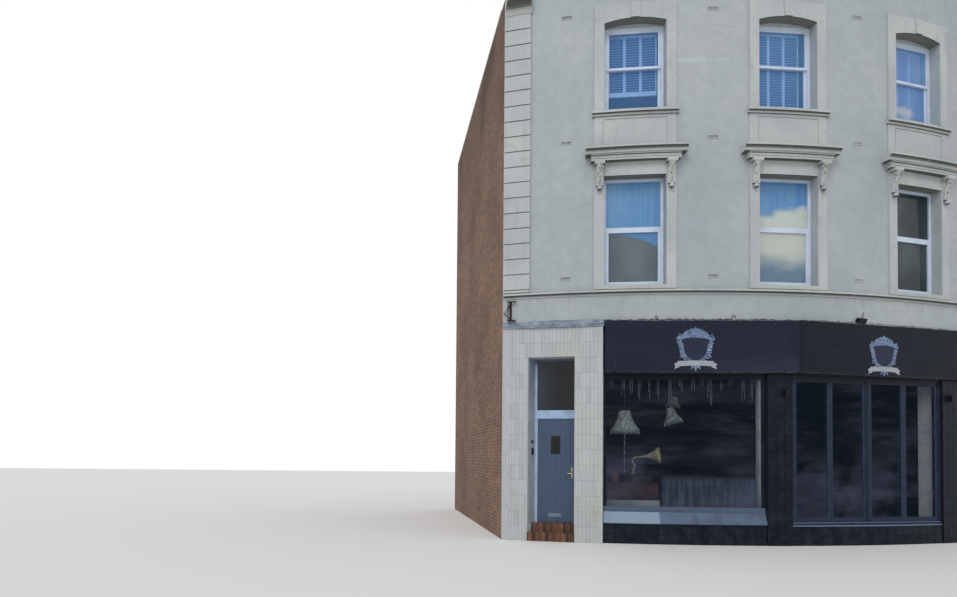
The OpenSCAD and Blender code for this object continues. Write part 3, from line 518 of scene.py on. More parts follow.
def acanthus(shape, place):
    """A lobed leaf that lies down the hollow front, with its tip curled out at the foot."""
    rings = []
    for j in range(LEAF_ROWS + 1):
        v = j / LEAF_ROWS
        out, z = bracket_front(1 - 0.97 * v)
        notch = abs(math.cos(math.pi * LEAF_LOBES * v))
        half = (0.060 - 0.030 * v) * (0.74 + 0.26 * notch ** 0.6) * min(1.0, 6 * (1.02 - v))
        curl = 0.016 * max(0.0, (v - 0.8) / 0.2) ** 2
        front, back = [], []
        for i in range(LEAF_COLUMNS + 1):
            u = 2 * i / LEAF_COLUMNS - 1
            vein = 0.009 * math.exp(-(u / 0.16) ** 2)
            furrow = 0.011 * abs(math.cos(math.pi * (LEAF_LOBES * v + 0.8 * abs(u)))) * (1 - u * u)
            high = 0.003 + 0.010 * math.sqrt(max(0.0, 1 - u * u)) * (1 - 0.4 * v) + vein + furrow
            front.append((u * half, -(out + high + curl), z))
            back.append((u * half, -(out + 0.0006 + curl), z))
        rings.append(front + back[::-1])
    shape.loft(rings, place)


number = 0
for middle in BAYS:
    for hand in (-1, 1):
        number += 1
        bracket_at = at_bow(middle + hand * BRACKET_SET_OUT) @ moved(z=BRACKET_FOOT)
        carved = Shape()
        acanthus(carved, bracket_at)
        for side in (-1, 1):
            x = side * (BRACKET_HALF + 0.0035)
            scroll = []
            for out, z in (bracket_front(0.05 + 0.055 * i) for i in range(14)):
                scroll.append((x, -(out - 0.011), z))
            for t in (i / COIL_POINTS for i in range(COIL_SKIP, COIL_POINTS + 1)):
                angle, r = math.radians(150 - 780 * t), COIL_R * (1 - 0.80 * t)
                scroll.append((x, -EYE_OUT - r * math.cos(angle), EYE_UP + r * math.sin(angle)))
            carved.tube(scroll, COIL_ROD, 6, bracket_at)
            eye_at = bracket_at @ moved(side * BRACKET_HALF, -EYE_OUT, EYE_UP) @ spun(side * 90, "Y")
            carved.turned([(0.013, 0.0), (0.012, 0.006), (0.007, 0.010), (0.0, 0.011)], eye_at, 12)
        for k in range(BEADS):
            carved.turned([(0.0, -BEAD_R), (0.006, -0.006), (BEAD_R, 0.0), (0.006, 0.006), (0.0, BEAD_R)],
                          bracket_at @ moved((k - (BEADS - 1) / 2) * BEAD_STEP, -BEAD_OUT, BEAD_UP), 10)
        carved.piece(f"bracket_carving_{number}", carved_cement, "wall_render")

# The slots of the air bricks under each floor have blackened with soot.
soot_black = speckled("soot_black", (40, 3), (26, 24, 22), (46, 42, 38), roughness=0.95)
voids = Shape()
for z in (5.14, 7.85, 10.38):
    for middle in (-4.28, -1.48, 1.48):
        voids.box((-0.101, -0.0030, 0.012), (0.101, -0.0008, 0.063), at_bow(middle) @ moved(z=z))
voids.piece("air_brick_voids", soot_black, "wall_render")

# --- First floor windows ---
# White plastic frames with a fixed pane over a lower casement. Net curtains hang behind the first two,
# gathered on a rail, and show through as faint upright folds. The third room is bare, and its shade is
# painted dark on its glass.
FIRST_SILL, FIRST_HEAD = 5.01, 7.16
SECOND_HEAD, REVEAL = 10.2, 0.2
CURTAIN_HALF, CURTAIN_BACK = 0.53, REVEAL + 0.125
CURTAIN_TOP, CURTAIN_FOOT = FIRST_HEAD - 0.05, FIRST_SILL + 0.06
FOLDS, FOLD_DEPTH, FOLD_POINTS, FALL_POINTS = 17, 0.018, 8, 14
RAIL_R = 0.009

plastic = Finish("white_plastic", 0.32)
dusty = plastic.place.noise(3.5, 5, 0.65).rise(0.42, 0.75)
corner_dirt = plastic.place.noise(22, 4, 0.7).rise(0.6, 0.8)
plastic_tone = dusty.blend(srgb(205, 218, 238), srgb(186, 197, 212))
plastic.put("Base Color", (corner_dirt * 0.5).blend(plastic_tone, srgb(150, 150, 142)))
plastic.put("Roughness", dusty * 0.25 + 0.25)
plastic.bump(plastic.place.noise(30, 3) * 0.5, 0.0008)
paint(plastic, "first_floor_frames", "first_floor_casements", "second_floor_frames", "second_floor_sashes",
      "rear_frames")

# The panes carry painted reflections of the sky, a low cloud and a grey street as soft tones, one
# window at a time, over the faint folds of the curtains. The third window's glass is painted dark, as
# the shade of its bare room.
upper_glass = Finish("curtained_glass", 0.04, Alpha=0.62, Specular_IOR_Level=0.6)
along, _, up = upper_glass.over_front()
top_pane = up.rise(6.12, 6.2)
first_bay, third_bay = along.rise(-1.4, -1.6), along.rise(1.4, 1.6)
folds_seen = upper_glass.vector(along * 26, 0.0, up * 0.5).noise(1.0, 3, 0.6).rise(0.3, 0.7)
sky_fade = upper_glass.vector(along * 1.1, 0.0, up * 0.9).noise(1.0, 3, 0.5).rise(0.35, 0.7)
billow = upper_glass.vector(along * 1.6, 0.0, up * 2.2).noise(1.0, 4, 0.6) * 0.55
pane_blue = sky_fade.blend(srgb(72, 142, 212), srgb(112, 172, 222))
pane_blue = (folds_seen * 0.5).blend(pane_blue, srgb(140, 188, 222))
from_left = along + 3.49
sky_edge = up + from_left * from_left * 0.27 + billow * 0.08
reflected_street = sky_edge.rise(6.09, 6.12).blend(sky_fade.blend(srgb(90, 108, 122), srgb(120, 134, 142)),
                                            srgb(96, 152, 206))
cloud_high = (up + billow - along * 0.12).rise(6.88, 6.68) * top_pane
cloud_low = (up + billow).rise(5.55, 6.05) * (1 - top_pane)
middle_tone = (cloud_low * 0.9).blend(srgb(116, 146, 172), srgb(224, 230, 220))
middle_tone = top_pane.blend(middle_tone, (cloud_high * 0.9).blend(pane_blue, srgb(228, 234, 222)))
pane_tone = first_bay.blend(middle_tone, top_pane.blend(reflected_street, pane_blue))
third_room_shade = sky_fade.blend(srgb(48, 60, 68), srgb(98, 114, 122))
upper_glass.put("Base Color", third_bay.blend(pane_tone, third_room_shade))
paint(upper_glass, "first_floor_glass")

net = Finish("net_curtain", 0.85)
weave = net.place.noise(140, 2, 0.6).rise(0.3, 0.7)
net.put("Base Color", weave.blend(srgb(206, 212, 216), srgb(232, 235, 236)))
net.put("Alpha", weave * 0.25 + 0.72)
steel_rail = speckled("curtain_rail", (18, 3), (196, 196, 192), (220, 220, 216), roughness=0.35)

for index, middle in enumerate(BAYS[:2]):
    place, seed = at_bow(middle), index + 3
    draw = random.Random(seed)
    sway = [draw.uniform(-0.35, 0.35) for _ in range(FOLDS + 1)]
    lines = []
    for down in (j / FALL_POINTS for j in range(FALL_POINTS + 1)):
        lines.append([])
        for t in (i / (FOLDS * FOLD_POINTS) for i in range(FOLDS * FOLD_POINTS + 1)):
            wave = math.sin(math.tau * (t * FOLDS + sway[int(t * FOLDS)] * down * 0.4))
            x = CURTAIN_HALF * (2 * t - 1) + 0.012 * down * math.sin(5 * t + seed)
            lines[-1].append(Vector((x, CURTAIN_BACK + FOLD_DEPTH * (0.55 + 0.45 * down) * wave,
                                     CURTAIN_TOP + (CURTAIN_FOOT - CURTAIN_TOP) * down)))
    rail = Shape()
    rail.tube([(side * (CURTAIN_HALF + 0.01), CURTAIN_BACK, CURTAIN_TOP + 0.01) for side in (-1, 1)],
              RAIL_R, 10, place)
    rail_piece = rail.piece(f"net_curtain_{index + 1}_rail", steel_rail, "white_frames", smooth=True)
    cloth = Shape()
    cloth.add([point for line in lines for point in line], grid(FALL_POINTS, FOLDS * FOLD_POINTS), place)
    curtain = cloth.piece(f"net_curtain_{index + 1}", net, "white_paint", smooth=True)
    halfway = [place @ point for point in lines[FALL_POINTS // 2]]
    width = sum((b - a).length for a, b in zip(halfway, halfway[1:]))

# --- Second floor windows ---
# White sliding sashes. Slatted shutters stand behind them: three narrow panels a window, with pale
# stiles and a bottom rail. Those of the first window stop part way down the lower sash.
SHUTTER_HALF, SHUTTER_TOP, SHUTTER_BACK = 0.47, SECOND_HEAD - 0.07, REVEAL + 0.115
STILE_W, STILE_T, HEAD_RAIL = 0.026, 0.026, 0.05
SLAT_STEP, SLAT_HALF, SLAT_THICK, SLAT_TILT = 0.052, 0.0245, 0.010, -16
# How far each window's shutters are shifted along, where they end, and the height of their bottom rail.
SHUTTERS = ((0.0, 8.88, 0.095), (-0.055, 8.53, 0.05), (0.0, 8.53, 0.05))

# The sash panes carry painted reflections: blue sky, and a white cloud in the third window.
sash_glass = Finish("sash_glass", 0.04, Specular_IOR_Level=0.5)
along, _, up = sash_glass.over_front()
first_bay, third_bay = along.rise(-1.4, -1.6), along.rise(1.4, 1.6)
fade = sash_glass.place.noise(0.8, 3).rise(0.35, 0.7)
sash_tone = first_bay.blend(fade.blend(srgb(112, 174, 238), srgb(126, 186, 244)), srgb(108, 166, 236))
from_cloud_x, from_cloud_z = (along - 2.90) * 2.6, (up - 8.80) * 5.0
puffs = sash_glass.vector(from_cloud_x, 0.0, from_cloud_z).noise(1.4, 4, 0.6)
cloud = (from_cloud_x * from_cloud_x + from_cloud_z * from_cloud_z + puffs * 1.6).rise(1.6, 0.6) * 0.85
cloudy = cloud.blend(fade.blend(srgb(122, 172, 236), srgb(144, 190, 242)), srgb(244, 244, 240))
sash_glass.put("Base Color", third_bay.blend(sash_tone, cloudy))
sash_glass.put("Alpha", third_bay * 0.18 + (1 - first_bay) * 0.02 + 0.21)
paint(sash_glass, "second_floor_glass")

shutter_paint = speckled("shutter_paint", (7, 4), (194, 226, 255), (178, 210, 250), (0.35, 0.7),
                         roughness=0.45)
# The slats' broad faces are painted dark blue as the shade between them, and their front edges pale as
# painted light.
slat_paint = Finish("slat_paint", 0.5)
slat_lit_edge = slat_paint.facing.axis("Z").band(-0.6, 0.6, 0.2)
slat_shade_tone = slat_paint.place.noise(6, 4).blend(srgb(58, 100, 168), srgb(72, 114, 178))
slat_paint.put("Base Color", slat_lit_edge.blend(slat_shade_tone, srgb(168, 200, 242)))
for index, (middle, (shift, foot, rail)) in enumerate(zip(BAYS, SHUTTERS)):
    place = at_bow(middle) @ moved(shift, SHUTTER_BACK)
    stiles, slats = Shape(), Shape()
    panel = 2 * SHUTTER_HALF / 3
    for k in range(3):
        x0 = -SHUTTER_HALF + k * panel + 0.001
        x1 = x0 + panel - 0.002
        inner = (x0 + STILE_W, x1 - STILE_W)
        for low, high in ((x0, inner[0]), (inner[1], x1)):
            stiles.box((low, 0, foot), (high, STILE_T, SHUTTER_TOP), place, 0.003)
        for low, high in ((foot, foot + rail), (SHUTTER_TOP - HEAD_RAIL, SHUTTER_TOP)):
            stiles.box((inner[0], 0.001, low), (inner[1], STILE_T - 0.001, high), place, 0.003)
        z = foot + rail + SLAT_STEP / 2
        while z < SHUTTER_TOP - HEAD_RAIL - SLAT_STEP / 3:
            slats.box((inner[0] + 0.001, -SLAT_HALF, -SLAT_THICK / 2),
                      (inner[1] - 0.001, SLAT_HALF, SLAT_THICK / 2),
                      place @ moved(0, STILE_T / 2, z) @ spun(SLAT_TILT, "X"), 0.001)
            z += SLAT_STEP
    stiles.piece(f"shutter_stiles_{index + 1}", shutter_paint, "white_frames")
    slats.piece(f"shutter_slats_{index + 1}", slat_paint, "white_frames")

# --- Rear windows ---
# Plain white windows of two panes on each storey, under concrete lintels. Dark roller blinds are
# drawn in the shop, and pale ones above, each pulled down from a roller at the head.
BLIND_HALF, BLIND_AT, BLIND_ROWS = 0.60, 4.18, 12
ROLLER_R, ROLLER_UP = 0.02, 0.05
LINTEL_HALF, LINTEL_HIGH = 0.72, 0.19
# Each storey's sill and head, and how far down its blinds are drawn.
REAR_ROWS = ((1.34, 3.04, 1.0), (5.11, 6.86, 0.55), (8.46, 10.2, 0.5))

paint(speckled("rear_pane", (0.9, 3), (58, 74, 88), (96, 112, 124), roughness=0.05, Alpha=0.45), "rear_glass")
lintel_cement = speckled("lintel_cement", (6, 5), (132, 130, 124), (164, 161, 152), bump=(45, 4, 0.003),
                         roughness=0.85)
dark_blind = speckled("dark_blind", (90, 2), (30, 29, 30), (42, 40, 42), roughness=0.9)
pale_blind = speckled("pale_blind", (90, 2), (196, 192, 180), (212, 208, 196), roughness=0.85)
lintels = Shape()
for column, x in enumerate(BAYS):
    for row, (sill, head, drawn) in enumerate(REAR_ROWS):
        lintels.box((x - LINTEL_HALF, 4.3, head + 0.002), (x + LINTEL_HALF, 4.498, head + LINTEL_HIGH),
                    None, 0.006)
        roller, blind = Shape(), Shape()
        roller.tube([(x + side * (BLIND_HALF + 0.015), BLIND_AT, head + ROLLER_UP) for side in (-1, 1)],
                    ROLLER_R, 16)
        roller_piece = roller.piece(f"blind_roller_{row + 1}_{column + 1}", steel_rail, "white_frames",
                                    smooth=True)
        fall = drawn * (head - sill + 0.12)
        blind.add([(x + side * BLIND_HALF, BLIND_AT + ROLLER_R - 0.0015 * math.sin(j * 1.9 + column),
                    head + ROLLER_UP - fall * j / BLIND_ROWS)
                   for j in range(BLIND_ROWS + 1) for side in (-1, -0.33, 0.33, 1)], grid(BLIND_ROWS, 3))
        blind_piece = blind.piece(f"roller_blind_{row + 1}_{column + 1}", pale_blind if row else dark_blind,
                                  "white_paint", smooth=True)
lintels.piece("rear_lintels", lintel_cement, "coping_stone")

# --- Street entrance ---
# A shallow porch faced with narrow glazed tiles, stacked with open joints lined up, between thin white
# trims. The tiles are a worn off-white, stained yellow near the ground. Grey lead covers the top.
DOOR_AT = at_bow(-4.5)
PORCH_LEFT, PORCH_RIGHT, PORCH_FACE, PORCH_TOP = -0.958, 0.94, -0.060, 4.2
ENTRY_LEFT, ENTRY_RIGHT, ENTRY_TOP = -0.5, 0.41, 3.62
REVEAL_FRONT, REVEAL_BACK, SPLAY_RIGHT = -0.056, 0.25, -0.38
TILE_W, TILE_H, TILE_T, JOINT = 0.0735, 0.300, 0.004, 0.003
BEDDED = 0.0004
STEP_RISE = 0.17

glazed = Finish("glazed_tiles", 0.22, Coat_Weight=0.15)
across, back, height = glazed.axes()
cell_x = (across + back * 0.7) / TILE_W
each_tile = glazed.vector(cell_x.maths("FLOOR"), (height / TILE_H).maths("FLOOR"), 0.0)
tile_tint = each_tile.node("TexWhiteNoise", {}, {"Vector": each_tile})
glaze = tile_tint.blend(srgb(168, 175, 179), srgb(183, 189, 192))
glaze = (glazed.place.noise(1.1, 4).rise(0.5, 0.7) * 0.5).blend(glaze, srgb(182, 184, 172))
low_stain = height.rise(1.9, 0.2) * glazed.place.noise(2.3, 5, 0.65).rise(0.42, 0.7)
glaze = (low_stain * 0.6).blend(glaze, srgb(170, 165, 142))
rust_runs = glazed.vector(cell_x * 0.8, 0.0, height * 0.5).noise(1.0, 4, 0.7).rise(0.6, 0.75)
glaze = (rust_runs * 0.35).blend(glaze, srgb(150, 140, 118))
_, out, up = glazed.over_front()
# Tiles inside the recess are darkened towards blue, most near its head: painted shade.
recess_shade = out.rise(BOW_R + 0.05, BOW_R - 0.02) * (up.rise(2.4, 3.6) * 0.4 + 0.28)
glaze = recess_shade.blend(glaze, srgb(78, 100, 128))
chips_in_glaze = glazed.place.noise(18, 4, 0.8).rise(0.72, 0.76)
glazed.put("Base Color", (chips_in_glaze * 0.8).blend(glaze, srgb(96, 88, 76)))
glazed.put("Roughness", glazed.place.noise(4, 4).rise(0.3, 0.7) * 0.3 + 0.14)
glazed.bump(glazed.place.noise(7, 3), 0.0015)
paint(speckled("tile_bed", (12, 4), (170, 176, 180), (186, 191, 193), bump=(60, 3, 0.001), roughness=0.9),
      "entrance_surround")


def lay_tiles(shape, place, across, up, skip=None, size=(TILE_W, TILE_H), thick=TILE_T, joint=JOINT):
    """Bevelled tiles stacked on an upright face that looks to -Y, from edge to edge across it and up it.
    They leave out an opening, given as its edges across and its top."""
    (u0, u1), (v0, v1) = across, up
    columns = max(1, round((u1 - u0) / size[0]))
    step = (u1 - u0) / columns
    bevel = joint * 0.6
    for i in range(columns):
        for j in range(math.ceil((v1 - v0) / size[1] - 0.05)):
            a0, a1 = u0 + i * step + joint / 2, u0 + (i + 1) * step - joint / 2
            b0, b1 = v0 + j * size[1] + joint / 2, min(v0 + (j + 1) * size[1], v1) - joint / 2
            if skip and b0 < skip[2]:
                left, right, top = skip
                if a0 > left - step / 2 and a1 < right + step / 2:
                    if b1 <= top + 0.02:
                        continue
                    b0 = top + joint / 2
                elif a0 < left < a1:
                    a1 = left - 0.001
                elif a0 < right < a1:
                    a0 = right + 0.001
            if b1 - b0 >= 0.015 and a1 - a0 >= 0.012:
                shape.loft([[(a0 + inset, -y, b1 - inset), (a1 - inset, -y, b1 - inset),
                             (a1 - inset, -y, b0 + inset), (a0 + inset, -y, b0 + inset)]
                            for y, inset in ((0, 0), (thick, bevel))], place)


def face_between(start, end):
    """The place of an upright face that runs between two points of the porch's plan, and its length."""
    run = Vector(end) - Vector(start)
    return DOOR_AT @ moved(*start) @ Matrix.Rotation(math.atan2(run.y, run.x), 4, "Z"), run.length


tiles = Shape()
lay_tiles(tiles, DOOR_AT @ moved(y=PORCH_FACE - BEDDED), (PORCH_LEFT + 0.075, PORCH_RIGHT - 0.02),
          (0.0, PORCH_TOP), (ENTRY_LEFT, ENTRY_RIGHT, ENTRY_TOP))
LEFT_REVEAL = face_between((ENTRY_LEFT, REVEAL_FRONT), (SPLAY_RIGHT, REVEAL_BACK))
RIGHT_REVEAL = face_between((ENTRY_RIGHT, REVEAL_BACK), (ENTRY_RIGHT, REVEAL_FRONT))
for reveal_at, run in (LEFT_REVEAL, RIGHT_REVEAL):
    lay_tiles(tiles, reveal_at @ moved(y=-BEDDED), (0.0, run), (2 * STEP_RISE, ENTRY_TOP))
tiles.piece("entrance_tiles", glazed, "cream_tiles")

trim_plastic = speckled("trim_plastic", (9, 4), (204, 210, 216), (176, 182, 184), (0.35, 0.75),
                        roughness=0.35)
trims = Shape()
for x0, x1 in ((PORCH_LEFT + 0.055, PORCH_LEFT + 0.075), (PORCH_RIGHT - 0.022, PORCH_RIGHT - 0.004)):
    trims.box((x0, PORCH_FACE - 0.012, 0.004), (x1, PORCH_FACE + 0.002, PORCH_TOP - 0.002), DOOR_AT, 0.003)
trims.piece("edge_trims", trim_plastic, "white_paint")

lead = Finish("lead_sheet", 0.55, Metallic=0.35)
oxide = lead.place.noise(6, 5, 0.7).rise(0.35, 0.7)
lead_streaks = lead.place.scaled(5, 5, 48).noise(1.0, 4, 0.7).rise(0.50, 0.64)
lead_tone = oxide.blend(srgb(112, 124, 140), srgb(156, 168, 184))
lead.put("Base Color", (lead_streaks * 0.75).blend(lead_tone, srgb(40, 48, 60)))
lead.bump(lead.place.noise(9, 4, 0.6) * 0.8 + lead.place.noise(40, 3) * 0.2, 0.012)
paint(lead, "surround_flashing")

# --- Entrance steps and door frame ---
# Two steps faced with upright red-brown tiles, worn along their edges. The frame, its transom and
# the plain fanlight over it are softwood, painted a bluish white, with glass painted dark as the shade
# of the hall behind it.
RISER_TILE, RISER_TILE_HIGH, TREAD_TILE = 0.062, 0.155, (0.124, 0.11)
# Each step's left end, the faces of its riser and of its tread from front to back, and its top.
STEPS = ((ENTRY_LEFT + 0.03, ENTRY_LEFT + 0.035, -0.0755, -0.075, 0.10, STEP_RISE),
         (-0.42, -0.41, 0.1095, 0.112, 0.245, 2 * STEP_RISE))
STEP_RIGHT = ENTRY_RIGHT - 0.006

red_clay = Finish("red_tiles", 0.45)
strip_at = (red_clay.place.axis("X") / RISER_TILE).maths("FLOOR")
strip_tone = strip_at.node("TexWhiteNoise", {"noise_dimensions": "1D"}, {"W": strip_at})
clay_dirt = red_clay.place.noise(14, 5, 0.7).rise(0.45, 0.7) * 0.6
clay_tone = strip_tone.blend(srgb(38, 24, 20), srgb(128, 82, 54))
red_clay.put("Base Color", clay_dirt.blend(clay_tone, srgb(46, 40, 38)))
red_clay.bump(red_clay.place.noise(50, 3), 0.001)
paint(red_clay, "entrance_steps")
riser_tiles = Shape()
for left, _, riser, _, _, top in STEPS:
    lay_tiles(riser_tiles, DOOR_AT @ moved(y=riser), (left, STEP_RIGHT), (top - STEP_RISE + 0.004, top),
              size=(RISER_TILE, RISER_TILE_HIGH), thick=0.005, joint=0.006)
for _, tread_left, _, front, back, top in STEPS:
    lay_tiles(riser_tiles, DOOR_AT @ moved(y=back, z=top + BEDDED) @ spun(-90, "X"), (tread_left, STEP_RIGHT),
              (0.0, back - front), size=TREAD_TILE, thick=0.004, joint=0.004)
riser_tiles.piece("step_tiles", red_clay, "red_tiles")

frame_paint = Finish("frame_paint", 0.4)
frame_wear = frame_paint.place.noise(5, 5, 0.65).rise(0.4, 0.75)
# The frame is darkened near its head: painted shadow of the recess head.
head_shadow = frame_paint.place.axis("Z").rise(3.46, 3.56) * 0.85
frame_paint.put("Base Color", head_shadow.blend(frame_wear.blend(srgb(164, 188, 222), srgb(138, 156, 186)),
                                               srgb(58, 66, 76)))
frame_paint.bump(frame_paint.place.scaled(60, 60, 4).noise(1.0, 3), 0.0008)
paint(frame_paint, "door_frame")
hall_glass = Finish("fanlight_pane", 0.06, Alpha=0.75)
along, _, _ = hall_glass.over_front()
# The glass darkens towards the right: painted shade of the hall behind it.
hall_shade = (along + hall_glass.place.noise(1.4, 4) * 0.4).rise(-4.62, -4.20)
hall_glass.put("Base Color", hall_shade.blend(srgb(48, 58, 70), srgb(16, 20, 27)))
paint(hall_glass, "fanlight_glass")

# --- Boarded street door ---
# Upright boards painted blue-grey. It has a small iron grille to look through, a brass lever on a long
# plate, a dull grey letter plate near the foot, and three steel butt hinges at the left.
LEAF_Y = 0.266
ON_LEAF = LEAF_Y - 0.0005
GRILLE_LEFT, GRILLE_RIGHT, GRILLE_FOOT, GRILLE_TOP = -0.059, 0.121, 1.715, 2.075
GRILLE_RIM, GRILLE_OUT = 0.02, LEAF_Y - 0.014
HANDLE_X, HANDLE_Z = 0.357, 1.33

door_paint = Finish("door_paint", 0.38)
board_grain = door_paint.place.scaled(70, 70, 3).noise(1.0, 4, 0.6)
door_scuff = door_paint.place.axis("Z").rise(1.1, 0.4) * door_paint.place.noise(9, 5, 0.7).rise(0.5, 0.7)
door_tone = door_paint.place.noise(2, 3).blend(srgb(52, 71, 99), srgb(66, 85, 113))
door_tone = (door_scuff * 0.5).blend(door_tone, srgb(48, 54, 64))
door_paint.put("Base Color", (board_grain.rise(0.55, 0.8) * 0.25).blend(door_tone, srgb(112, 126, 142)))
door_paint.put("Roughness", door_scuff * 0.3 + 0.32)
door_paint.bump(board_grain, 0.0012)
paint(door_paint, "front_door")

brass = Finish("worn_brass", 0.3, Metallic=1.0)
tarnish = brass.place.noise(40, 4, 0.7).rise(0.35, 0.7)
brass.put("Base Color", tarnish.blend(srgb(196, 184, 150), srgb(140, 128, 100)))
brass.put("Roughness", tarnish * 0.3 + 0.22)
paint(brass, "door_furniture")
paint(speckled("hinge_steel", (60, 3), (150, 152, 154), (184, 186, 188), roughness=0.35, Metallic=1.0),
      "door_hinges")

grille_iron = speckled("grille_iron", (50, 3), (34, 34, 36), (58, 54, 52), Metallic=0.6)
grille = Shape()
for z0 in (GRILLE_FOOT, GRILLE_TOP - GRILLE_RIM):
    grille.box((GRILLE_LEFT, GRILLE_OUT, z0), (GRILLE_RIGHT, ON_LEAF, z0 + GRILLE_RIM), DOOR_AT, 0.002)
for x0 in (GRILLE_LEFT, GRILLE_RIGHT - GRILLE_RIM):
    grille.box((x0, GRILLE_OUT, GRILLE_FOOT + GRILLE_RIM),
               (x0 + GRILLE_RIM, ON_LEAF, GRILLE_TOP - GRILLE_RIM), DOOR_AT, 0.002)
grille.box((GRILLE_LEFT + 0.018, LEAF_Y - 0.004, GRILLE_FOOT + 0.018),
           (GRILLE_RIGHT - 0.018, ON_LEAF, GRILLE_TOP - 0.018), DOOR_AT)
for x in (GRILLE_LEFT + 0.038 + k * 0.026 for k in range(5)):
    grille.tube([(x, LEAF_Y - 0.009, z) for z in (GRILLE_FOOT + 0.015, GRILLE_TOP - 0.015)], 0.0035, 8,
                DOOR_AT)
for z in (GRILLE_FOOT + 0.05 + k * 0.033 for k in range(9)):
    grille.tube([(x, LEAF_Y - 0.008, z) for x in (GRILLE_LEFT + 0.015, GRILLE_RIGHT - 0.015)], 0.0025, 8,
                DOOR_AT)
for x in (GRILLE_LEFT + GRILLE_RIM / 2, GRILLE_RIGHT - GRILLE_RIM / 2):
    for z in (GRILLE_FOOT + GRILLE_RIM / 2, GRILLE_TOP - GRILLE_RIM / 2):
        grille.turned([(0.0, 0.003), (0.005, 0.002), (0.006, 0.0)],
                      DOOR_AT @ moved(x, GRILLE_OUT, z) @ spun(90, "X"), 10)
grille_piece = grille.piece("viewer_grille", grille_iron, "hinge_steel", "front_door")
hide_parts("door_furniture")

handle = Shape()
handle_at = DOOR_AT @ moved(HANDLE_X, LEAF_Y, HANDLE_Z)
handle.box((-0.019, -0.007, -0.10), (0.019, -0.0005, 0.12), handle_at, 0.003)
handle.tube([(0, -0.004, 0), (0, -0.018, 0), (0, -0.05, 0)], [0.016, 0.009, 0.009], 14, handle_at)
handle.tube([(0.004, -0.048, 0), (-0.03, -0.052, 0.002), (-0.075, -0.05, -0.003), (-0.112, -0.042, -0.01)],
            [0.010, 0.0095, 0.009, 0.007], 14, handle_at)
handle.tube([(0, -0.004, -0.062), (0, -0.012, -0.062)], 0.009, 14, handle_at)
handle.piece("lever_handle", brass, "brass", "front_door")
letter = Shape()
letter.box((-0.11, LEAF_Y - 0.007, 0.455), (0.15, ON_LEAF, 0.53), DOOR_AT, 0.003)
letter.box((-0.085, LEAF_Y - 0.011, 0.472), (0.125, LEAF_Y - 0.006, 0.513), DOOR_AT, 0.002)
dull_plate = speckled("dull_plate", (30, 4, 0.7), (96, 110, 130), (132, 146, 164), roughness=0.45,
                      Metallic=0.4)
letter.piece("letter_plate", dull_plate, "hinge_steel", "front_door")

# A small bell push and a speaker below it are screwed to the tiles of the left reveal.
speaker = Shape()
speaker.boxes(LEFT_REVEAL[0], 0.004, ((0.168, -0.028, 1.925), (0.212, -0.0045, 1.985)),
              ((0.166, -0.028, 1.70), (0.234, -0.0045, 1.83)))
for z in (1.79 - k * 0.012 for k in range(4)):
    speaker.box((0.182, -0.0295, z), (0.218, -0.0275, z + 0.005), LEFT_REVEAL[0])
black_plastic = speckled("black_plastic", (60, 3), (18, 18, 20), (32, 32, 34), roughness=0.4,
                         Specular_IOR_Level=0.2)
speaker.piece("door_speaker", black_plastic, "shop_paint")

# --- Shop window ---
# One large sheet of glass in a black frame, on a pale painted sill over a low tiled wall. The inside
# is dark, a painted shade, and a white board lines its right side. The street lies on the glass as a
# painted reflection, a faint grey glow.
WINDOW_AT = at_bow(-1.995)
SIDE_FOOT, SIDE_TOP = 0.612, 3.272
SILL_PALE_END = -2.44


def worn_black(name):
    """Blue-black gloss paint, dulled by dust."""
    gloss = Finish(name, 0.38, Specular_IOR_Level=0.14)
    gloss.bump(gloss.place.noise(30, 3), 0.0006)
    dust = gloss.place.noise(3.2, 5, 0.7).rise(0.4, 0.75)
    return gloss, dust, dust.blend(srgb(13, 18, 28), srgb(27, 35, 49))


dark_gloss, shop_dust, dark_tone = worn_black("shop_black")
dark_gloss.put("Base Color", dark_tone)
dark_gloss.put("Roughness", shop_dust * 0.3 + 0.3)
paint(dark_gloss, "plinth_walls", "tiled_pilasters")
frame_gloss, _, frame_dark = worn_black("window_frame_paint")
frame_gloss.put("Base Color", (frame_gloss.place.axis("Z") < 0.713).blend(frame_dark, srgb(84, 97, 118)))
paint(frame_gloss, "shop_window_frame")

sill_paint = Finish("sill_paint", 0.5)
sill_tone = sill_paint.place.noise(4, 5, 0.7).rise(0.42, 0.72).blend(srgb(78, 98, 126), srgb(62, 76, 98))
# The sill is paler towards its left end.
sill_pale_left = sill_paint.place.axis("X").rise(SILL_PALE_END, SILL_PALE_END - 0.06)
sill_tone = (sill_pale_left * 0.7).blend(sill_tone, srgb(140, 164, 184))
# The top of the sill is paler: painted light.
sill_top_light = sill_paint.facing.axis("Z").rise(0.3, 0.8)
sill_paint.put("Base Color", (sill_top_light * 0.5).blend(sill_tone, srgb(116, 132, 150)))
sill_paint.bump(sill_paint.place.noise(35, 3), 0.001)
paint(sill_paint, "shop_window_sill")

# The glass is black and glows faintly through its Emission Color, a painted reflection: streaks, part smears
# and part street, over a dark tone, and a paler frosted band low down. The streaks also vary how clear it is.
shop_glass = Finish("shop_glass", 0.03, Base_Color=(0.0, 0.0, 0.0), Specular_IOR_Level=0.0,
                    Emission_Strength=0.75)
along, _, up = shop_glass.over_front()
smears_and_reflections = shop_glass.vector(shop_glass.place.axis("X") * 0.5, 0.0, up * 2.6)
smears_and_reflections = smears_and_reflections.noise(1.0, 5, 0.65).rise(0.42, 0.72)
low_smears_and_reflections = shop_glass.place.noise(0.9, 3).rise(0.42, 0.6) * up.rise(2.3, 1.2)
glass_glow = (smears_and_reflections * 0.7 + low_smears_and_reflections * 0.5).clip().blend(srgb(34, 44, 56), srgb(76, 80, 98))
frost_grain = shop_glass.vector(along * 11.0, 0.0, up * 0.9).noise(1.0, 5, 0.7)
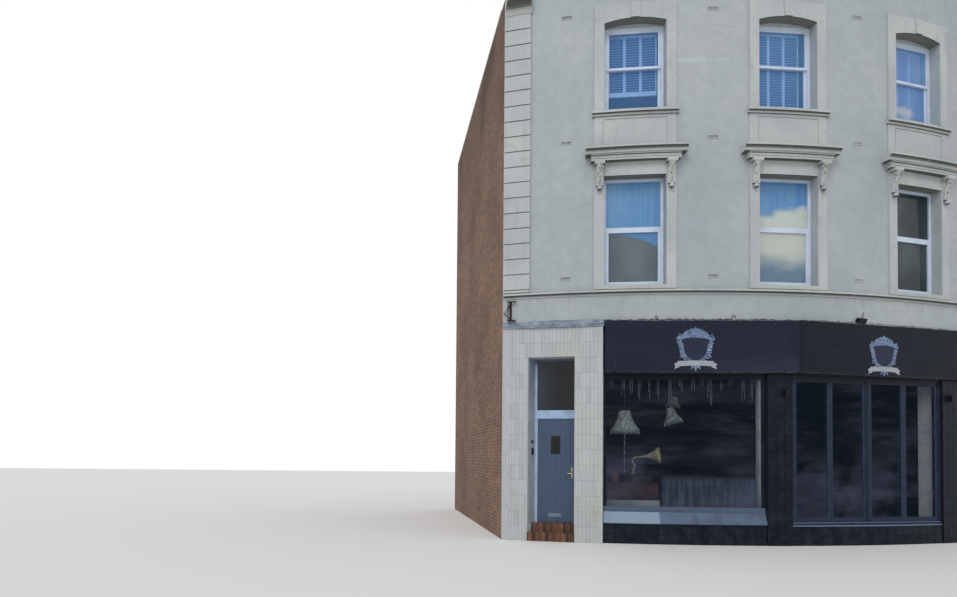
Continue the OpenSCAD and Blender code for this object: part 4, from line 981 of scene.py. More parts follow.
frosted = (along.band(-2.34, -0.66, 0.10) * (up + frost_grain * 0.12).rise(1.42, 1.24)
           * (frost_grain.rise(0.34, 0.62) * 0.6 + 0.4))
shop_glass.put("Emission Color", frosted.blend(glass_glow, srgb(82, 90, 110)))
shop_glass.put("Alpha", (smears_and_reflections * 0.6 + low_smears_and_reflections * 0.6).clip() * 0.22 + frosted * 0.16 + 0.22)
paint(shop_glass, "shop_window_glass", "fold_door_glass")

board_paint = speckled("board_paint", (4, 4, 0.6), (192, 208, 220), (222, 234, 240), roughness=0.6)
side_boards = Shape()
side_boards.boxes(WINDOW_AT, 0.002, ((1.452, 0.215, SIDE_FOOT), (1.538, 0.232, SIDE_TOP)),
                  ((1.448, 0.234, SIDE_FOOT), (1.462, 0.36, SIDE_TOP)))
side_boards.piece("white_side_board", board_paint, "white_paint")

# --- Things on show in the window ---
# A brown cabinet on a white box, with a tan case and a wind-up record player with its brass horn on top.
# Three old silk lampshades with fringes hang on brass rods, one with a string of cut glass beads below
# it, and glass icicles hang from a rail at the head.
CAB_LEFT, CAB_RIGHT, CAB_FRONT, CAB_BACK = -1.375, -0.385, 0.50, 0.90
CAB_FOOT, CAB_TOP, CAB_DOORS = 0.812, 1.155, 4
PLAYER_X, PLAYER_Y, PLATTER_STEPS = -0.70, 0.68, 36
HORN_RINGS, HORN_SIDES, HORN_PETALS, HORN_WALL = 22, 64, 8, 0.0018
HORN_MOUTH, HORN_THROAT = Vector((-0.36, 0.52, 1.715)), Vector((-0.76, 0.70, 1.665))
ARM_X, ARM_Y = -0.83, 0.70
PLEATS, PLEAT_RINGS, PLEAT_DEEP, SCALLOP = 96, 16, 0.0035, 0.018
# Each shade's place across and back, its top, the radii of its neck and skirt, its height and its tilt.
SHADES = ((-1.026, 0.60, 2.60, 0.115, 0.285, 0.40, 0.0), (-0.05, 0.90, 2.69, 0.075, 0.185, 0.30, -14.0),
          (0.13, 1.20, 2.94, 0.06, 0.15, 0.20, 8.0))
SHOP_CEILING_UNDER = 4.098
BEAD_STRING, BEAD_TOP, BEAD_PITCH = 17, 2.13, 0.047
ICE_CLUSTERS, ICE_BACK, ICE_RAIL, ICE_DROP = 15, 0.268, 3.226, 0.022

paint(board_paint, "display_plinth")
walnut = Finish("walnut_veneer", 0.35)
figure = walnut.place.scaled(26, 26, 2.5).noise(1.0, 5, 0.65)
walnut.put("Base Color", figure.rise(0.3, 0.7).blend(srgb(56, 28, 28), srgb(98, 54, 48)))
walnut.bump(figure, 0.0008)
cabinet = Shape()
for grow, out, foot, top, edge in ((0.0, 0.0, CAB_FOOT + 0.03, CAB_TOP - 0.022, 0.004),
                                   (0.012, 0.014, CAB_TOP - 0.022, CAB_TOP, 0.005)):
    cabinet.box((CAB_LEFT - grow, CAB_FRONT - out, foot), (CAB_RIGHT + grow, CAB_BACK, top), WINDOW_AT, edge)
cabinet.box((CAB_LEFT + 0.01, CAB_FRONT + 0.01, CAB_FOOT),
            (CAB_RIGHT - 0.01, CAB_BACK - 0.01, CAB_FOOT + 0.03), WINDOW_AT, 0.003)
door_w = (CAB_RIGHT - CAB_LEFT - 0.06) / CAB_DOORS
for x in (CAB_LEFT + 0.02 + k * (door_w + 0.0066) for k in range(CAB_DOORS)):
    for inset, front, back, edge in ((0.0, 0.012, 0.002, 0.004), (0.035, 0.018, -0.01, 0.006)):
        cabinet.box((x + inset, CAB_FRONT - front, CAB_FOOT + 0.05 + inset),
                    (x + door_w - inset, CAB_FRONT + back, CAB_TOP - 0.04 - inset), WINDOW_AT, edge)
cabinet.piece("brown_cabinet", walnut, "floor_boards")

ON_CABINET = WINDOW_AT @ moved(z=CAB_TOP)
tan_case = Shape()
tan_case.boxes(ON_CABINET, 0.006, ((-1.285, 0.56, 0.001), (-1.145, 0.70, 0.165)),
               ((-1.289, 0.556, 0.167), (-1.141, 0.704, 0.205)))
tan_case.box((-1.235, 0.550, 0.145), (-1.195, 0.5615, 0.185), ON_CABINET, 0.002)
tan_leather = speckled("tan_leather", (22, 4), (150, 92, 62), (116, 68, 48), bump=(140, 3, 0.0006),
                       roughness=0.6)
tan_case.piece("tan_case", tan_leather, "floor_boards")

player = Shape()
player_at = ON_CABINET @ moved(PLAYER_X, PLAYER_Y)
for half_x, half_y, low, high, edge in ((0.20, 0.17, 0.012, 0.15, 0.006), (0.215, 0.185, 0.0005, 0.02, 0.006),
                                        (0.208, 0.178, 0.142, 0.158, 0.005)):
    player.box((-half_x, -half_y, low), (half_x, half_y, high), player_at, edge)
player.turned([(0.0, 0.0), (0.15, 0.0), (0.155, 0.004), (0.15, 0.009), (0.0, 0.009)],
              player_at @ moved(z=0.16), PLATTER_STEPS)
player.tube([(0.2, -0.05, 0.08), (0.28, -0.05, 0.08), (0.285, -0.05, 0.045)], 0.006, 10, player_at)
dark_wood = Finish("dark_oak", 0.4)
oak_grain = dark_wood.place.scaled(4, 30, 30).noise(1.0, 4)
dark_wood.put("Base Color", oak_grain.blend(srgb(26, 20, 18), srgb(52, 36, 28)))
player.piece("record_player", dark_wood, "floor_boards")

horn = Shape()
bore = HORN_MOUTH - HORN_THROAT
axis = bore.normalized()
side = axis.cross(Vector((0, 0, 1))).normalized()
skins = ([], [])
for skin, wall in zip(skins, (0, HORN_WALL)):
    for t in (i / HORN_RINGS for i in range(HORN_RINGS + 1)):
        radius = 0.014 + 0.135 * t ** 2.6 + 0.012 * t
        for angle in (math.tau * k / HORN_SIDES for k in range(HORN_SIDES)):
            ripple = 1 + 0.055 * t ** 2 * abs(math.cos(HORN_PETALS * angle / 2)) - 0.03 * t ** 2
            way = side * math.cos(angle) + side.cross(axis) * math.sin(angle)
            skin.append(HORN_THROAT + axis * bore.length * t + way * (radius * ripple - wall))
verts = skins[0] + [v for i in reversed(range(HORN_RINGS + 1))
                    for v in skins[1][i * HORN_SIDES:(i + 1) * HORN_SIDES]]
horn.add(verts, [[v % len(verts) for v in face] for face in grid(2 * (HORN_RINGS + 1), HORN_SIDES, True)],
         WINDOW_AT)
arm = [(0.07, 0.0, 1.665, 0.015), (0.025, 0.015, 1.655, 0.016), (-0.005, 0.025, 1.62, 0.016),
       (-0.005, 0.025, 1.56, 0.016), (0.025, 0.015, 1.52, 0.017), (0.03, 0.01, 1.46, 0.018),
       (0.0, 0.0, 1.40, 0.02), (0.0, 0.0, 1.335, 0.024)]
horn.tube([(ARM_X + x, ARM_Y + y, z) for x, y, z, _ in arm], [r for _, _, _, r in arm], 14, WINDOW_AT)
horn.turned([(0.0, 0.0), (0.045, 0.0), (0.04, 0.012), (0.024, 0.02), (0.02, 0.03)],
            ON_CABINET @ moved(ARM_X, ARM_Y, 0.158), 20)
horn_brass = speckled("horn_brass", (14, 4, 0.6), (242, 234, 190), (206, 190, 134), (0.3, 0.7),
                      roughness=0.35, Metallic=0.25)
horn.piece("brass_horn", horn_brass, "brass", smooth=True)

silk = Finish("pleated_silk", 0.8)
silk_tone = silk.place.noise(9, 4, 0.6).rise(0.3, 0.7).blend(srgb(230, 242, 240), srgb(200, 216, 212))
# Darker upright streaks in the silk are painted shade in the pleats.
pleat_shade = silk.place.scaled(34, 34, 1.2).noise(1.0, 3, 0.6).rise(0.42, 0.62)
silk.put("Base Color", silk_tone.times(pleat_shade.blend(srgb(168, 172, 172), (1, 1, 1))))
silk.bump(silk.place.noise(120, 3), 0.0008)
for index, (x, y, top, neck, skirt, tall, tilt) in enumerate(SHADES):
    place = WINDOW_AT @ moved(x, y, top) @ spun(tilt, "Y")
    shade, fringe, fitting = Shape(), Shape(), Shape()
    rings = []
    for down in (j / PLEAT_RINGS for j in range(PLEAT_RINGS + 1)):
        flare = neck + (skirt - neck) * (0.35 * down + 0.65 * down ** 2.4)
        for k in range(PLEATS):
            angle = math.tau * k / PLEATS
            r = flare + PLEAT_DEEP * (1 if k % 2 else -1) * (0.4 + down)
            lifted = SCALLOP * down ** 3 * abs(math.sin(angle * 4))
            rings.append((r * math.cos(angle), r * math.sin(angle), -tall * down + lifted))
    shade.add(rings, grid(PLEAT_RINGS, PLEATS, ring=True), place)
    silk_piece = shade.piece(f"silk_shade_{index + 1}", silk, "white_paint", smooth=True)

    strands = round(150 * skirt / SHADES[0][4])
    fall = random.Random(40 + index)
    for angle in (math.tau * k / strands for k in range(strands)):
        head = -tall + SCALLOP * abs(math.sin(angle * 4)) + 0.008
        foot = head - 0.008 - tall * 0.2 * fall.uniform(0.85, 1.1)
        cx, cy, w = math.cos(angle), math.sin(angle), skirt * 0.016
        fringe.add([(r * cx - wide * w * cy, r * cy + wide * w * cx, z) for r, wide, z in (
            (skirt, 1, head), (skirt, -1, head), (skirt - 0.004, 0, head),
            (skirt + 0.003, 0.4, foot), (skirt + 0.003, -0.4, foot), (skirt, 0, foot))],
            [(0, 1, 2), (5, 4, 3), (0, 3, 4, 1), (1, 4, 5, 2), (2, 5, 3, 0)], place)
    fringe_piece = fringe.piece(f"shade_fringe_{index + 1}", silk, "white_paint")

    fitting.turned([(0.0, 0.012), (neck * 0.35, 0.012), (neck * 0.4, 0.0), (neck + 0.002, 0.0),
                    (neck + 0.002, -0.006), (0.0, -0.006)], place, 24)
    anchor, head = place @ Vector((0, 0, 0.01)), WINDOW_AT @ Vector((x, y, SHOP_CEILING_UNDER))
    fitting.tube([anchor, (anchor + head) / 2, head], 0.005, 8)
    fitting.turned([(0.0, 0.0), (0.045, 0.0), (0.02, -0.03), (0.006, -0.035)],
                   WINDOW_AT @ moved(x, y, SHOP_CEILING_UNDER + 0.0005), 18)
    rod_piece = fitting.piece(f"shade_rod_{index + 1}", brass, "brass", smooth=True)

crystal = Shape()
crystal_at = WINDOW_AT @ moved(*SHADES[0][:2])
crystal.tube([(0, 0, SHADES[0][2] - 0.005), (0, 0, 1.33)], 0.0010, 6, crystal_at)
for k in range(BEAD_STRING):
    r = 0.013 if k % 4 else 0.021
    crystal.turned([(0.0, -r * 1.2), (r * 0.8, -r * 0.5), (r, 0.0), (r * 0.8, r * 0.5), (0.0, r * 1.2)],
                   crystal_at @ moved(z=BEAD_TOP - BEAD_PITCH * k), 10)
# The beads are grey with white specks: painted glints of the cut glass.
cut_glass = speckled("cut_glass", (60, 2, 0.7), (120, 126, 138), (246, 246, 240), (0.4, 0.6), roughness=0.2)
crystal.piece("crystal_drop", cut_glass, "window_glass")

icicles = Shape()
hang = random.Random(7)
icicles.box((-1.42, ICE_BACK - 0.006, 3.225), (1.40, ICE_BACK + 0.006, 3.245), WINDOW_AT, 0.002)
for cluster in range(ICE_CLUSTERS):
    middle = -1.33 + cluster * 0.19 + hang.uniform(-0.05, 0.05)
    longest = hang.choice((0.16, 0.30, 0.45, 0.58))
    for strand in range(hang.choice((2, 3, 4))):
        x = middle + (strand - 1.5) * 0.026 + hang.uniform(-0.005, 0.005)
        drops = round(longest * hang.uniform(0.45, 1.0) / ICE_DROP)
        icicles.tube([(x + hang.uniform(-0.004, 0.004), ICE_BACK + hang.uniform(-0.003, 0.003),
                       ICE_RAIL - ICE_DROP * j) for j in range(drops + 1)],
                     [0.0016 if j % 2 else 0.0040 for j in range(drops)] + [0.001], 6, WINDOW_AT)
ice_glass = speckled("icicle_glass", (14, 3, 0.7), (150, 164, 190), (222, 230, 242), (0.3, 0.7),
                     roughness=0.3)
icicles.piece("glass_icicles", ice_glass, "window_glass", smooth=True)

# --- Pilasters and low walls ---
# Brick piers faced with dark tiles, painted over in blue-black with the rest of the shop front. The
# joints and the edges of the tiles show through the paint. A small lamp is fixed high on each pier.
PIER_TILE, LOW_TILE = (0.1525, 0.2988), (0.205, 0.184)
# Each run of tiles: its ends along the front, how far out it lies, its top, and the size of its tiles.
TILED_RUNS = ((-0.447, 0.047, 0.0222, 3.296, PIER_TILE), (3.513, 4.417, 0.0222, 3.296, PIER_TILE),
              (-3.537, -0.452, 0.0004, 0.372, LOW_TILE), (0.053, 3.507, 0.0004, 0.372, LOW_TILE))

pier_paint = Finish("pier_paint", 0.42, Specular_IOR_Level=0.14)
pier_wear = pier_paint.place.noise(5, 5, 0.7).rise(0.4, 0.72)
low_splash = pier_paint.place.axis("Z").rise(0.6, 0.05)
pier_tone = pier_wear.blend(srgb(14, 20, 31), srgb(27, 36, 51))
pier_paint.put("Base Color", (low_splash * pier_wear * 0.5).blend(pier_tone, srgb(46, 48, 50)))
pier_paint.put("Roughness", pier_wear * 0.25 + 0.32)
pier_paint.bump(pier_paint.place.noise(22, 4), 0.001)
pier_tiles = Shape()
for start, end, out, top, (tile_w, tile_h) in TILED_RUNS:
    columns = round((end - start) / tile_w)
    width = (end - start) / columns
    for i in range(columns):
        lay_tiles(pier_tiles, at_bow(start + (i + 0.5) * width) @ moved(y=-out), (-width / 2, width / 2),
                  (0.004, top), size=(width, tile_h), thick=0.005, joint=0.004)
pier_tiles.piece("painted_tiles", pier_paint, "black_tiles")

pier_lamps = Shape()
for middle in (-0.107, 3.70):
    for half, out, back, low, high, edge in ((0.045, 0.038, 0.0265, 2.83, 3.01, 0.003),
                                             (0.032, 0.115, 0.036, 2.86, 2.985, 0.008),
                                             (0.024, 0.105, 0.046, 2.852, 2.862, 0.002)):
        pier_lamps.box((-half, -out, low), (half, -back, high), at_bow(middle), edge)
pier_lamps.piece("pier_lamps", black_plastic, "shop_paint")

# --- Folding doors ---
# Two pairs of glazed leaves in blue-grey painted metal frames, with a darker post between the pairs,
# over an aluminium threshold and a bar inside it. White plastered boards line the pier at their right.
FOLD_LEFT, FOLD_RIGHT, FOLD_AT = 0.055, 3.505, at_bow(1.78)
# The threshold's section, as points out from the wall's face and up.
THRESHOLD = ((0.012, 0.372), (0.012, 0.386), (-0.02, 0.3925), (-0.12, 0.3925), (-0.12, 0.3902),
             (0.0005, 0.3902), (0.0005, 0.372))
THRESHOLD_STEPS = 32

fold_paint = Finish("fold_paint", 0.4, Specular_IOR_Level=0.22)
fold_wear = fold_paint.place.noise(6, 5, 0.7).rise(0.42, 0.75)
along, _, up = fold_paint.over_front()
fold_tone = fold_wear.blend(srgb(28, 40, 61), srgb(44, 58, 82))
shaded = (along.band(1.748, 1.812, 0.002) * 0.75 + up.rise(3.12, 3.2) * 0.8).clip()
fold_paint.put("Base Color", shaded.blend(fold_tone, srgb(12, 17, 26)))
fold_paint.put("Roughness", fold_wear * 0.25 + 0.32)
fold_paint.bump(fold_paint.place.noise(40, 3), 0.0005)
paint(fold_paint, "fold_door_frame", "fold_door_leaves")

aluminium = speckled("mill_aluminium", (25, 4), (104, 124, 156), (140, 156, 182), roughness=0.42,
                     Metallic=0.75)
threshold = Shape()
threshold.loft([[(r * math.sin(angle), BOW_CENTRE_Y - r * math.cos(angle), z)
                 for r, z in ((BOW_R + out, z) for out, z in THRESHOLD)]
                for angle in ((FOLD_LEFT + (FOLD_RIGHT - FOLD_LEFT) * i / THRESHOLD_STEPS) / BOW_R
                              for i in range(THRESHOLD_STEPS + 1))])
threshold.piece("door_threshold", aluminium, "hinge_steel")
threshold_bar = Shape()
threshold_bar.box((-1.70, 0.112, 0.425), (1.70, 0.1295, 0.437), FOLD_AT, 0.002)
threshold_bar.piece("threshold_bar", aluminium, "hinge_steel")
column = Shape()
column.boxes(at_bow(3.51), 0.003, ((-0.022, 0.128, 0.394), (-0.0015, 0.350, 3.276)),
             ((-0.022, 0.354, 0.3425), (0.40, 0.46, 4.096)))
column_plaster = speckled("column_plaster", (3, 4, 0.6), (222, 230, 240), (240, 244, 248),
                          bump=(30, 3, 0.001), roughness=0.75)
column.piece("white_column", column_plaster, "white_paint")

# --- Fascia boards ---
# Two long boards of painted sheet, screwed to battens, with a strip in the corner between them. Each
# carries a leafy shield with a bare field over a plain ribbon, cut from pale film and stuck on.
BOARD_FACE, FASCIA_FOOT, FASCIA_TOP = 0.035, 3.30, 4.30
# Each board's place along the front and its half length.
BOARDS = ((-1.72, 1.815), (2.26, 2.155))
FILM_BACK = BOARD_FACE + 0.0002
# Half of the shield's outline, from its head down its right side, and the place of each shield on its board.
HALF_SHIELD = ((0.0, 0.205), (0.10, 0.198), (0.185, 0.180), (0.238, 0.222), (0.268, 0.150), (0.228, 0.085),
               (0.222, 0.010), (0.205, -0.070), (0.168, -0.145), (0.100, -0.205))
CRESTS = ((0, -0.107, 3.764, 1.0), (1, -0.250, 3.714, 0.95))
RIM_OUT, LEAF_STEP = 0.044, 0.046
# The plume at the shield's head: how far its leaves turn to each side, and how long they are.
PLUME = ((30, 0.150), (52, 0.128), (74, 0.112), (92, 0.100), (106, 0.090))
RIBBON_END = ((0.300, -0.262), (0.408, -0.300), (0.378, -0.350), (0.402, -0.402), (0.300, -0.362))
DOME_STEPS, ARCH_STEPS = 24, 16
# The strip that closes the corner between the two boards, in plan.
CORNER_STRIP = ((0.0985, -4.515), (0.1015, -4.515), (0.1340, -4.6925), (0.0785, -4.6475))
SCREWS = 10

fascia_paint = Finish("fascia_paint", 0.42, Specular_IOR_Level=0.18)
along, _, up = fascia_paint.over_front()
on_board = fascia_paint.vector(along, 0.0, up)
second_board = along.rise(0.09, 0.11)
fascia_tone = second_board.blend(srgb(24, 31, 48), srgb(15, 20, 34))
haze = fascia_paint.vector(along * 0.8, 0.0, up * 1.6).noise(1.2, 4, 0.6).rise(0.45, 0.8)
low_haze = up.rise(3.8, 3.35) * along.rise(-2.2, -0.5) * (1 - second_board)
fascia_tone = (haze * 0.18 + low_haze * 0.3).clip().blend(fascia_tone, srgb(60, 64, 84))
scratched = fascia_paint.vector(along * 55, 0.0, up * 2.2).noise(1.0, 2, 0.6).rise(0.70, 0.74)
scratched = scratched * on_board.noise(1.4, 2).rise(0.5, 0.62) * 0.6
fascia_tone = scratched.blend(fascia_tone, srgb(112, 116, 130))
worn_edge = up.rise(FASCIA_FOOT + 0.018, FASCIA_FOOT + 0.004) * on_board.noise(7, 4, 0.7).rise(0.4, 0.6)
fascia_paint.put("Base Color", (worn_edge * 0.6).blend(fascia_tone, srgb(92, 92, 100)))
fascia_paint.put("Roughness", haze * 0.2 + 0.34)
sheet_joint = abs(along + 0.90) < 0.0022
fascia_paint.bump(on_board.noise(1.1, 2) * 0.8 - sheet_joint * 0.3 + on_board.noise(45, 3) * 0.02, 0.008)
paint(fascia_paint, "fascia_boards")


def cut_out(shape, outline, front, place):
    """A flat shape of (across, up) points, from the board's face to a distance in front of the wall."""
    area = sum(a[0] * b[1] - b[0] * a[1] for a, b in zip(outline, outline[1:] + outline[:1]))
    line = outline if area > 0 else outline[::-1]
    shape.loft([[(x, -y, z) for x, z in line] for y in (front, FILM_BACK)], place)


def cut_band(shape, outer, inner, front, place):
    """A flat band between two outlines with as many points."""
    n = len(outer)
    lines = ((front, outer), (front, inner), (FILM_BACK, inner), (FILM_BACK, outer))
    verts = [(x, -y, z) for y, line in lines for x, z in line]
    shape.add(verts, [[v % len(verts) for v in face[::-1]] for face in grid(4, n, ring=True)], place)


def eased(points, rounds=3):
    """A closed line with its corners cut until it runs smoothly."""
    for _ in range(rounds):
        points = [(a[0] + (b[0] - a[0]) * t, a[1] + (b[1] - a[1]) * t)
                  for a, b in zip(points, points[1:] + points[:1]) for t in (0.25, 0.75)]
    return points


def outward(points):
    """The outward direction at each point of a closed line."""
    for before, after in zip(points[-1:] + points[:-1], points[1:] + points[:1]):
        run = Vector((after[0] - before[0], after[1] - before[1])).normalized()
        yield run.y, -run.x


def set_off(points, amount):
    """A closed line moved outwards by an amount."""
    return [(x + way[0] * amount, z + way[1] * amount) for (x, z), way in zip(points, outward(points))]


def leaf_outline(root, turn, length, width, lobes=3):
    """A lobed leaf that grows from its root, turned from upright by an angle in degrees."""
    c, s = math.cos(math.radians(turn)), math.sin(math.radians(turn))
    edge = []
    for side, i in [(1, i) for i in range(15)] + [(-1, i) for i in reversed(range(15))]:
        t = i / 14
        swell = width * math.sin(math.pi * t ** 0.75) ** 0.8
        swell *= 0.78 + 0.22 * abs(math.cos(math.pi * lobes * t))
        x, z = side * (swell + 0.0008), t * length
        edge.append((root[0] + x * c + z * s, root[1] - x * s + z * c))
    return edge


def scroll_outline(centre, radius, turns, width, hand, start):
    """The outline of a flat scroll that winds inwards."""
    lines, steps = ([], []), round(28 * turns)
    for t in (i / steps for i in range(steps + 1)):
        angle = math.radians(start) + hand * math.tau * turns * t
        for line, offset in zip(lines, (0.5, -0.5)):
            r = radius * (1 - 0.86 * t) + offset * width * (1 - 0.5 * t)
            line.append((centre[0] + r * math.cos(angle), centre[1] + r * math.sin(angle)))
    return lines[0] + lines[1][::-1]


film_leaf = Finish("pale_film", 0.5)
film_tone = film_leaf.place.noise(6, 4, 0.6).rise(0.35, 0.7).blend(srgb(140, 162, 198), srgb(108, 130, 170))
swirl = film_leaf.vector(film_leaf.place.axis("X"), 0.0, film_leaf.place.axis("Z")).noise(13, 1, 0.5) * 8.0
engraved = abs(swirl % 1.0 - 0.5).rise(0.26, 0.32)
film_leaf.put("Base Color", (engraved * 0.9).blend(film_tone, srgb(28, 38, 60)))
film_leaf.bump(film_leaf.place.noise(60, 3), 0.0006)
film_ribbon = speckled("ribbon_film", (20, 4, 0.7), (138, 144, 158), (172, 176, 186), (0.3, 0.7))
film_field = speckled("field_film", (3, 4), (20, 28, 52), (34, 44, 72), roughness=0.42,
                      Specular_IOR_Level=0.3)

shield = eased(list(HALF_SHIELD[::-1]) + [(-x, z) for x, z in HALF_SHIELD[1:]] + [(0.0, -0.240)])
for index, (board, x, z, size_by) in enumerate(CRESTS):
    crest_at = at_bow(BOARDS[board][0]) @ moved(x, 0, z) @ Matrix.Diagonal((size_by, 1, size_by, 1))
    leaves, field, ribbon = Shape(), Shape(), Shape()

    def leaf(root, turn, length, width, front, lobes=3):
        cut_out(leaves, leaf_outline(root, turn, length, width, lobes), front, crest_at)

    cut_out(field, set_off(shield, 0.002), 0.0360, crest_at)
    cut_band(leaves, set_off(shield, 0.013), set_off(shield, 0.004), 0.0366, crest_at)
    rim = set_off(shield, RIM_OUT)
    cut_band(leaves, rim, set_off(shield, 0.021), 0.0382, crest_at)
    walked, last = 0.0, rim[0]
    for k, (point, way) in enumerate(zip(rim, outward(shield))):
        walked += math.dist(point, last)
        last = point
        if walked < LEAF_STEP or point[1] > 0.225 or -0.345 < point[1] < -0.225:
            continue
        walked = 0.0
        lean = math.degrees(math.atan2(*way))
        lean -= math.copysign(32, lean)
        reach = 0.064 + 0.008 * max(0.0, point[1] / 0.22)
        leaf(point, lean, reach, reach * 0.36, 0.0370 + 0.0001 * (k % 7))
        leaf(point, 2 * lean - math.copysign(90, lean), reach * 0.6, reach * 0.24, 0.0378 + 0.0001 * (k % 7))
    for side in (-1, 1):
        for centre, radius, turns, width, hand, start in (
                ((0.318, 0.176), 0.050, 1.35, 0.016, -side, 90 + side * 60),
                ((0.285, -0.165), 0.026, 1.2, 0.010, side, 90 - side * 20)):
            scroll = scroll_outline((side * centre[0], centre[1]), radius, turns, width, hand, start)
            cut_out(leaves, scroll, 0.0386, crest_at)
        for tier, (turn, reach) in enumerate(PLUME):
            root = (side * (0.035 + 0.048 * tier), 0.236 - 0.006 * tier)
            for back_by, share, width, front in ((0, 1.0, 0.038, 0.0376), (26, 0.8, 0.028, 0.0386),
                                                 (44, 0.55, 0.022, 0.0392)):
                leaf(root, side * (turn - back_by), reach * share, width, front + 0.0002 * tier)
        leaf((side * 0.03, -0.325), 180 - side * 38, 0.105, 0.024, 0.0376)
        cut_out(ribbon, [(side * x, z) for x, z in RIBBON_END], 0.0380, crest_at)
    dome = [(0.262 * math.cos(math.pi * i / DOME_STEPS), 0.205 + 0.165 * math.sin(math.pi * i / DOME_STEPS)
             + 0.010 * abs(math.sin(6 * math.pi * i / DOME_STEPS))) for i in range(DOME_STEPS + 1)]
    cut_out(leaves, dome, 0.0372, crest_at)
    leaf((0.0, 0.225), 0, 0.190, 0.046, 0.0402, 4)
    leaf((0.0, -0.325), 180, 0.115, 0.028, 0.0384)
    arch = [(-0.345 + 0.0431 * i, 0.012 * math.sin(math.pi * i / ARCH_STEPS)) for i in range(ARCH_STEPS + 1)]
    band = [(x, rise - 0.348) for x, rise in arch] + [(x, rise - 0.250) for x, rise in arch[::-1]]
    cut_out(ribbon, band, 0.0396, crest_at)
    leaves.piece(f"shield_leaves_{index + 1}", film_leaf, "white_paint")
    field.piece(f"shield_field_{index + 1}", film_field, "shop_paint")
    ribbon.piece(f"shield_ribbon_{index + 1}", film_ribbon, "white_paint")

screws = Shape()
screw_draw = random.Random(21)
for board_at, half in BOARDS:
    for z in (FASCIA_FOOT + 0.032, FASCIA_TOP - 0.05):
        for k in range(SCREWS):
            x = (half - 0.05) * (2 * k / (SCREWS - 1) - 1)
            x += screw_draw.uniform(-0.03, 0.03) * (0 < k < SCREWS - 1)
            screws.turned([(0.0065, 0.0), (0.0065, 0.002), (0.005, 0.0035), (0.0, 0.004)],
                          at_bow(board_at) @ moved(x, -FILM_BACK, z) @ spun(90, "X"), 12)
zinc = speckled("zinc_screw", (40, 3), (78, 80, 90), (122, 124, 132), roughness=0.45, Metallic=0.7)
screws.piece("fascia_screws", zinc, "hinge_steel")

corner_strip = Shape()
corner_strip.loft([[(x, y, z) for x, y in CORNER_STRIP] for z in (FASCIA_FOOT + 0.002, FASCIA_TOP - 0.002)])
corner_strip.piece("fascia_corner_strip", fascia_paint, "shop_paint")

# --- Capping, lamp and iron bracket over the fascia ---
# A rough strip of lead covers the top of the boards and turns up the wall, pointed in by hand. On it
# stand a small black lamp and bent ends of steel conduit. A rusty iron bracket is bolted to the wall.
CAPPING_STEP, CAPPING_HEAD, CAPPING_FOLD, CAPPING_SEAT, CAPPING_DRIP = 0.05, 4.336, 4.306, 4.3007, 4.294
SPOT_X, SPOT_TILT, SPOT_FINS = -0.798, 24, 7
# Each conduit's place along the first board, how far its end is bent aside, and how high it stands.
CONDUITS = ((-0.86, 0.05, 0.095), (0.66, -0.09, 0.11))
BRACKET_X = -0.857

capping_lead = Finish("old_capping", 0.7, Metallic=0.1)
capping_tone = capping_lead.place.noise(7, 5, 0.7).rise(0.35, 0.65)
capping_tone = capping_tone.blend(srgb(54, 56, 62), srgb(112, 114, 118))
pale_run = capping_lead.place.axis("X").rise(1.0, 1.8)
capping_tone = (pale_run * 0.7).blend(capping_tone, srgb(146, 148, 150))
tar = capping_lead.vector(capping_lead.place.axis("X") * 5, 0.0, capping_lead.place.axis("Z") * 22)
tar = tar.noise(1.0, 5, 0.7)
capping_lead.put("Base Color", (tar.rise(0.50, 0.58) * 0.85).blend(capping_tone, srgb(40, 40, 44)))
capping_lead.bump(capping_lead.place.noise(22, 4, 0.6), 0.006)


def wall_back(x):
    """How far the bowed wall lies behind a flat board's middle line."""
    return BOW_R - math.sqrt(BOW_R * BOW_R - x * x)


capping = Shape()
edge_draw = random.Random(5)
for board_at, half in BOARDS:
    stations = round(half * 2 / CAPPING_STEP)
    rings = []
    for x in (-half + 2 * half * i / stations for i in range(stations + 1)):
        wall_y, board_y = wall_back(x), -BOARD_FACE - 0.0008
        crown = CAPPING_HEAD + edge_draw.uniform(-0.014, 0.016)
        ripple = edge_draw.uniform(0.0, 0.005)
        drip = CAPPING_DRIP + edge_draw.uniform(-0.006, 0.004)
        front = board_y - 0.002 - edge_draw.uniform(0.0, 0.003)
        rings.append([(x, y, z) for y, z in (
            (wall_y - 0.004, crown), (wall_y - 0.009, CAPPING_FOLD + ripple),
            (front, CAPPING_FOLD - 0.0025 + ripple), (front - 0.0015, drip), (board_y, drip),
            (board_y, CAPPING_SEAT), (wall_y - 0.001, CAPPING_SEAT), (wall_y - 0.001, crown))])
    capping.loft(rings, at_bow(board_at))
capping.piece("fascia_capping", capping_lead, "lead_flashing")

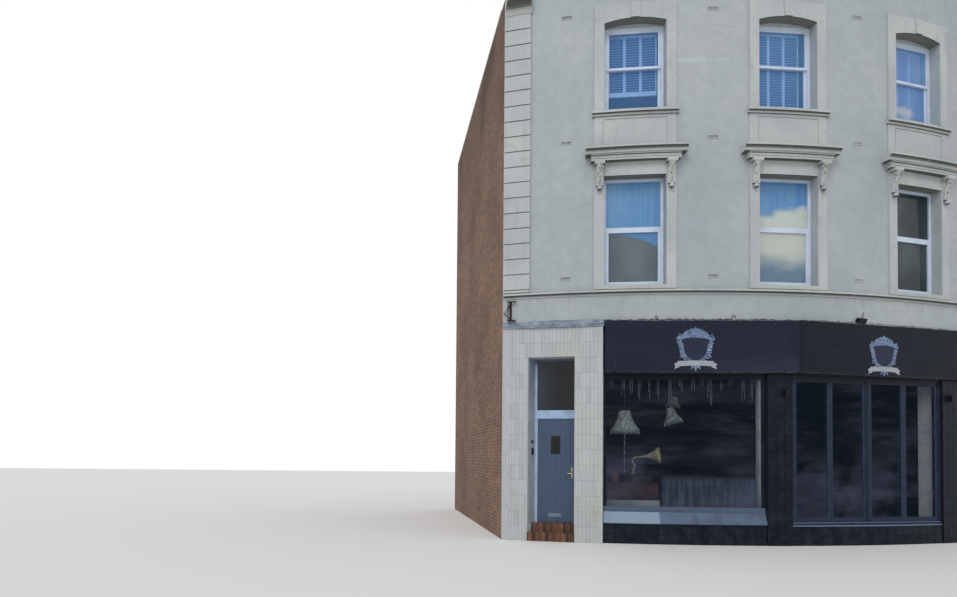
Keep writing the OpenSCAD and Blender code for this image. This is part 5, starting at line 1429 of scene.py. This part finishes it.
spot = Shape()
spot_at = at_bow(BOARDS[1][0]) @ moved(SPOT_X, -BOARD_FACE, 4.309)
head_at = spot_at @ moved(0, -0.01, 0.062) @ spun(SPOT_TILT, "X")
spot.box((-0.085, -0.045, -0.040), (0.085, 0.030, 0.040), head_at, 0.006)
spot.box((-0.092, -0.052, -0.047), (0.092, -0.040, 0.047), head_at, 0.004)
for x in (-0.078 + k * 0.024 for k in range(SPOT_FINS)):
    spot.box((x, 0.028, -0.034), (x + 0.006, 0.046, 0.034), head_at)
spot.boxes(spot_at, 0.001, ((-0.100, -0.012, 0.0), (-0.094, 0.012, 0.075)),
           ((0.094, -0.012, 0.0), (0.100, 0.012, 0.075)), ((-0.100, -0.014, -0.001), (0.100, 0.014, 0.004)))
spot.tube([(0.06, 0.02, 0.07), (0.075, 0.03, 0.13), (0.105, 0.04, 0.19), (0.115, 0.05, 0.235),
           (0.115, 0.0565, 0.245)], 0.005, 8, spot_at)
spot.piece("spot_lamp", black_plastic, "shop_paint")

rust = speckled("rusty_iron", (30, 5, 0.7), (34, 30, 30), (70, 52, 44), (0.35, 0.65), bump=(90, 4, 0.001),
                roughness=0.8, Metallic=0.2)
conduit = Shape()
for x, reach, high in CONDUITS:
    wall_y = wall_back(x) - 0.002
    conduit.tube([(x, wall_y, 4.36), (x, wall_y - 0.016, 4.37)]
                 + [(x + reach * bent, y, FASCIA_TOP + high * rise) for bent, y, rise in (
                     (0.2, wall_y - 0.022, 0.85), (0.45, wall_y - 0.024, 1.0), (0.8, -0.012, 0.6))]
                 + [(x + reach, -0.012, 4.3075)], 0.0055, 8, at_bow(BOARDS[0][0]))
conduit.piece("conduit_ends", rust, "hinge_steel", smooth=True)

iron = Shape()
iron_at = DOOR_AT @ moved(y=wall_back(BRACKET_X))
iron.boxes(iron_at, 0.002, ((-0.880, -0.012, 4.374), (-0.834, -0.0008, 4.776)),
           ((-0.862, -0.060, 4.376), (-0.852, -0.012, 4.768)),
           ((-0.925, -0.085, 4.745), (-0.742, -0.030, 4.760)),
           ((-0.925, -0.085, 4.372), (-0.752, -0.0008, 4.384)))
for x0, z0, x1, z1, radius in ((-0.905, 4.74, -0.905, 4.384, 0.007), (-0.880, 4.69, -0.978, 4.49, 0.008),
                               (-0.998, 4.530, -0.858, 4.402, 0.008), (-0.905, 4.60, -0.862, 4.70, 0.006)):
    iron.tube([(x0, -0.055, z0), (x1, -0.050, z1)], radius, 8, iron_at)
for z in (4.43, 4.58, 4.72):
    iron.turned([(0.010, 0.0), (0.010, 0.005), (0.005, 0.008), (0.0, 0.008)],
                iron_at @ moved(-0.845, -0.012, z) @ spun(90, "X"), 6)
iron.piece("iron_bracket", rust, "hinge_steel")
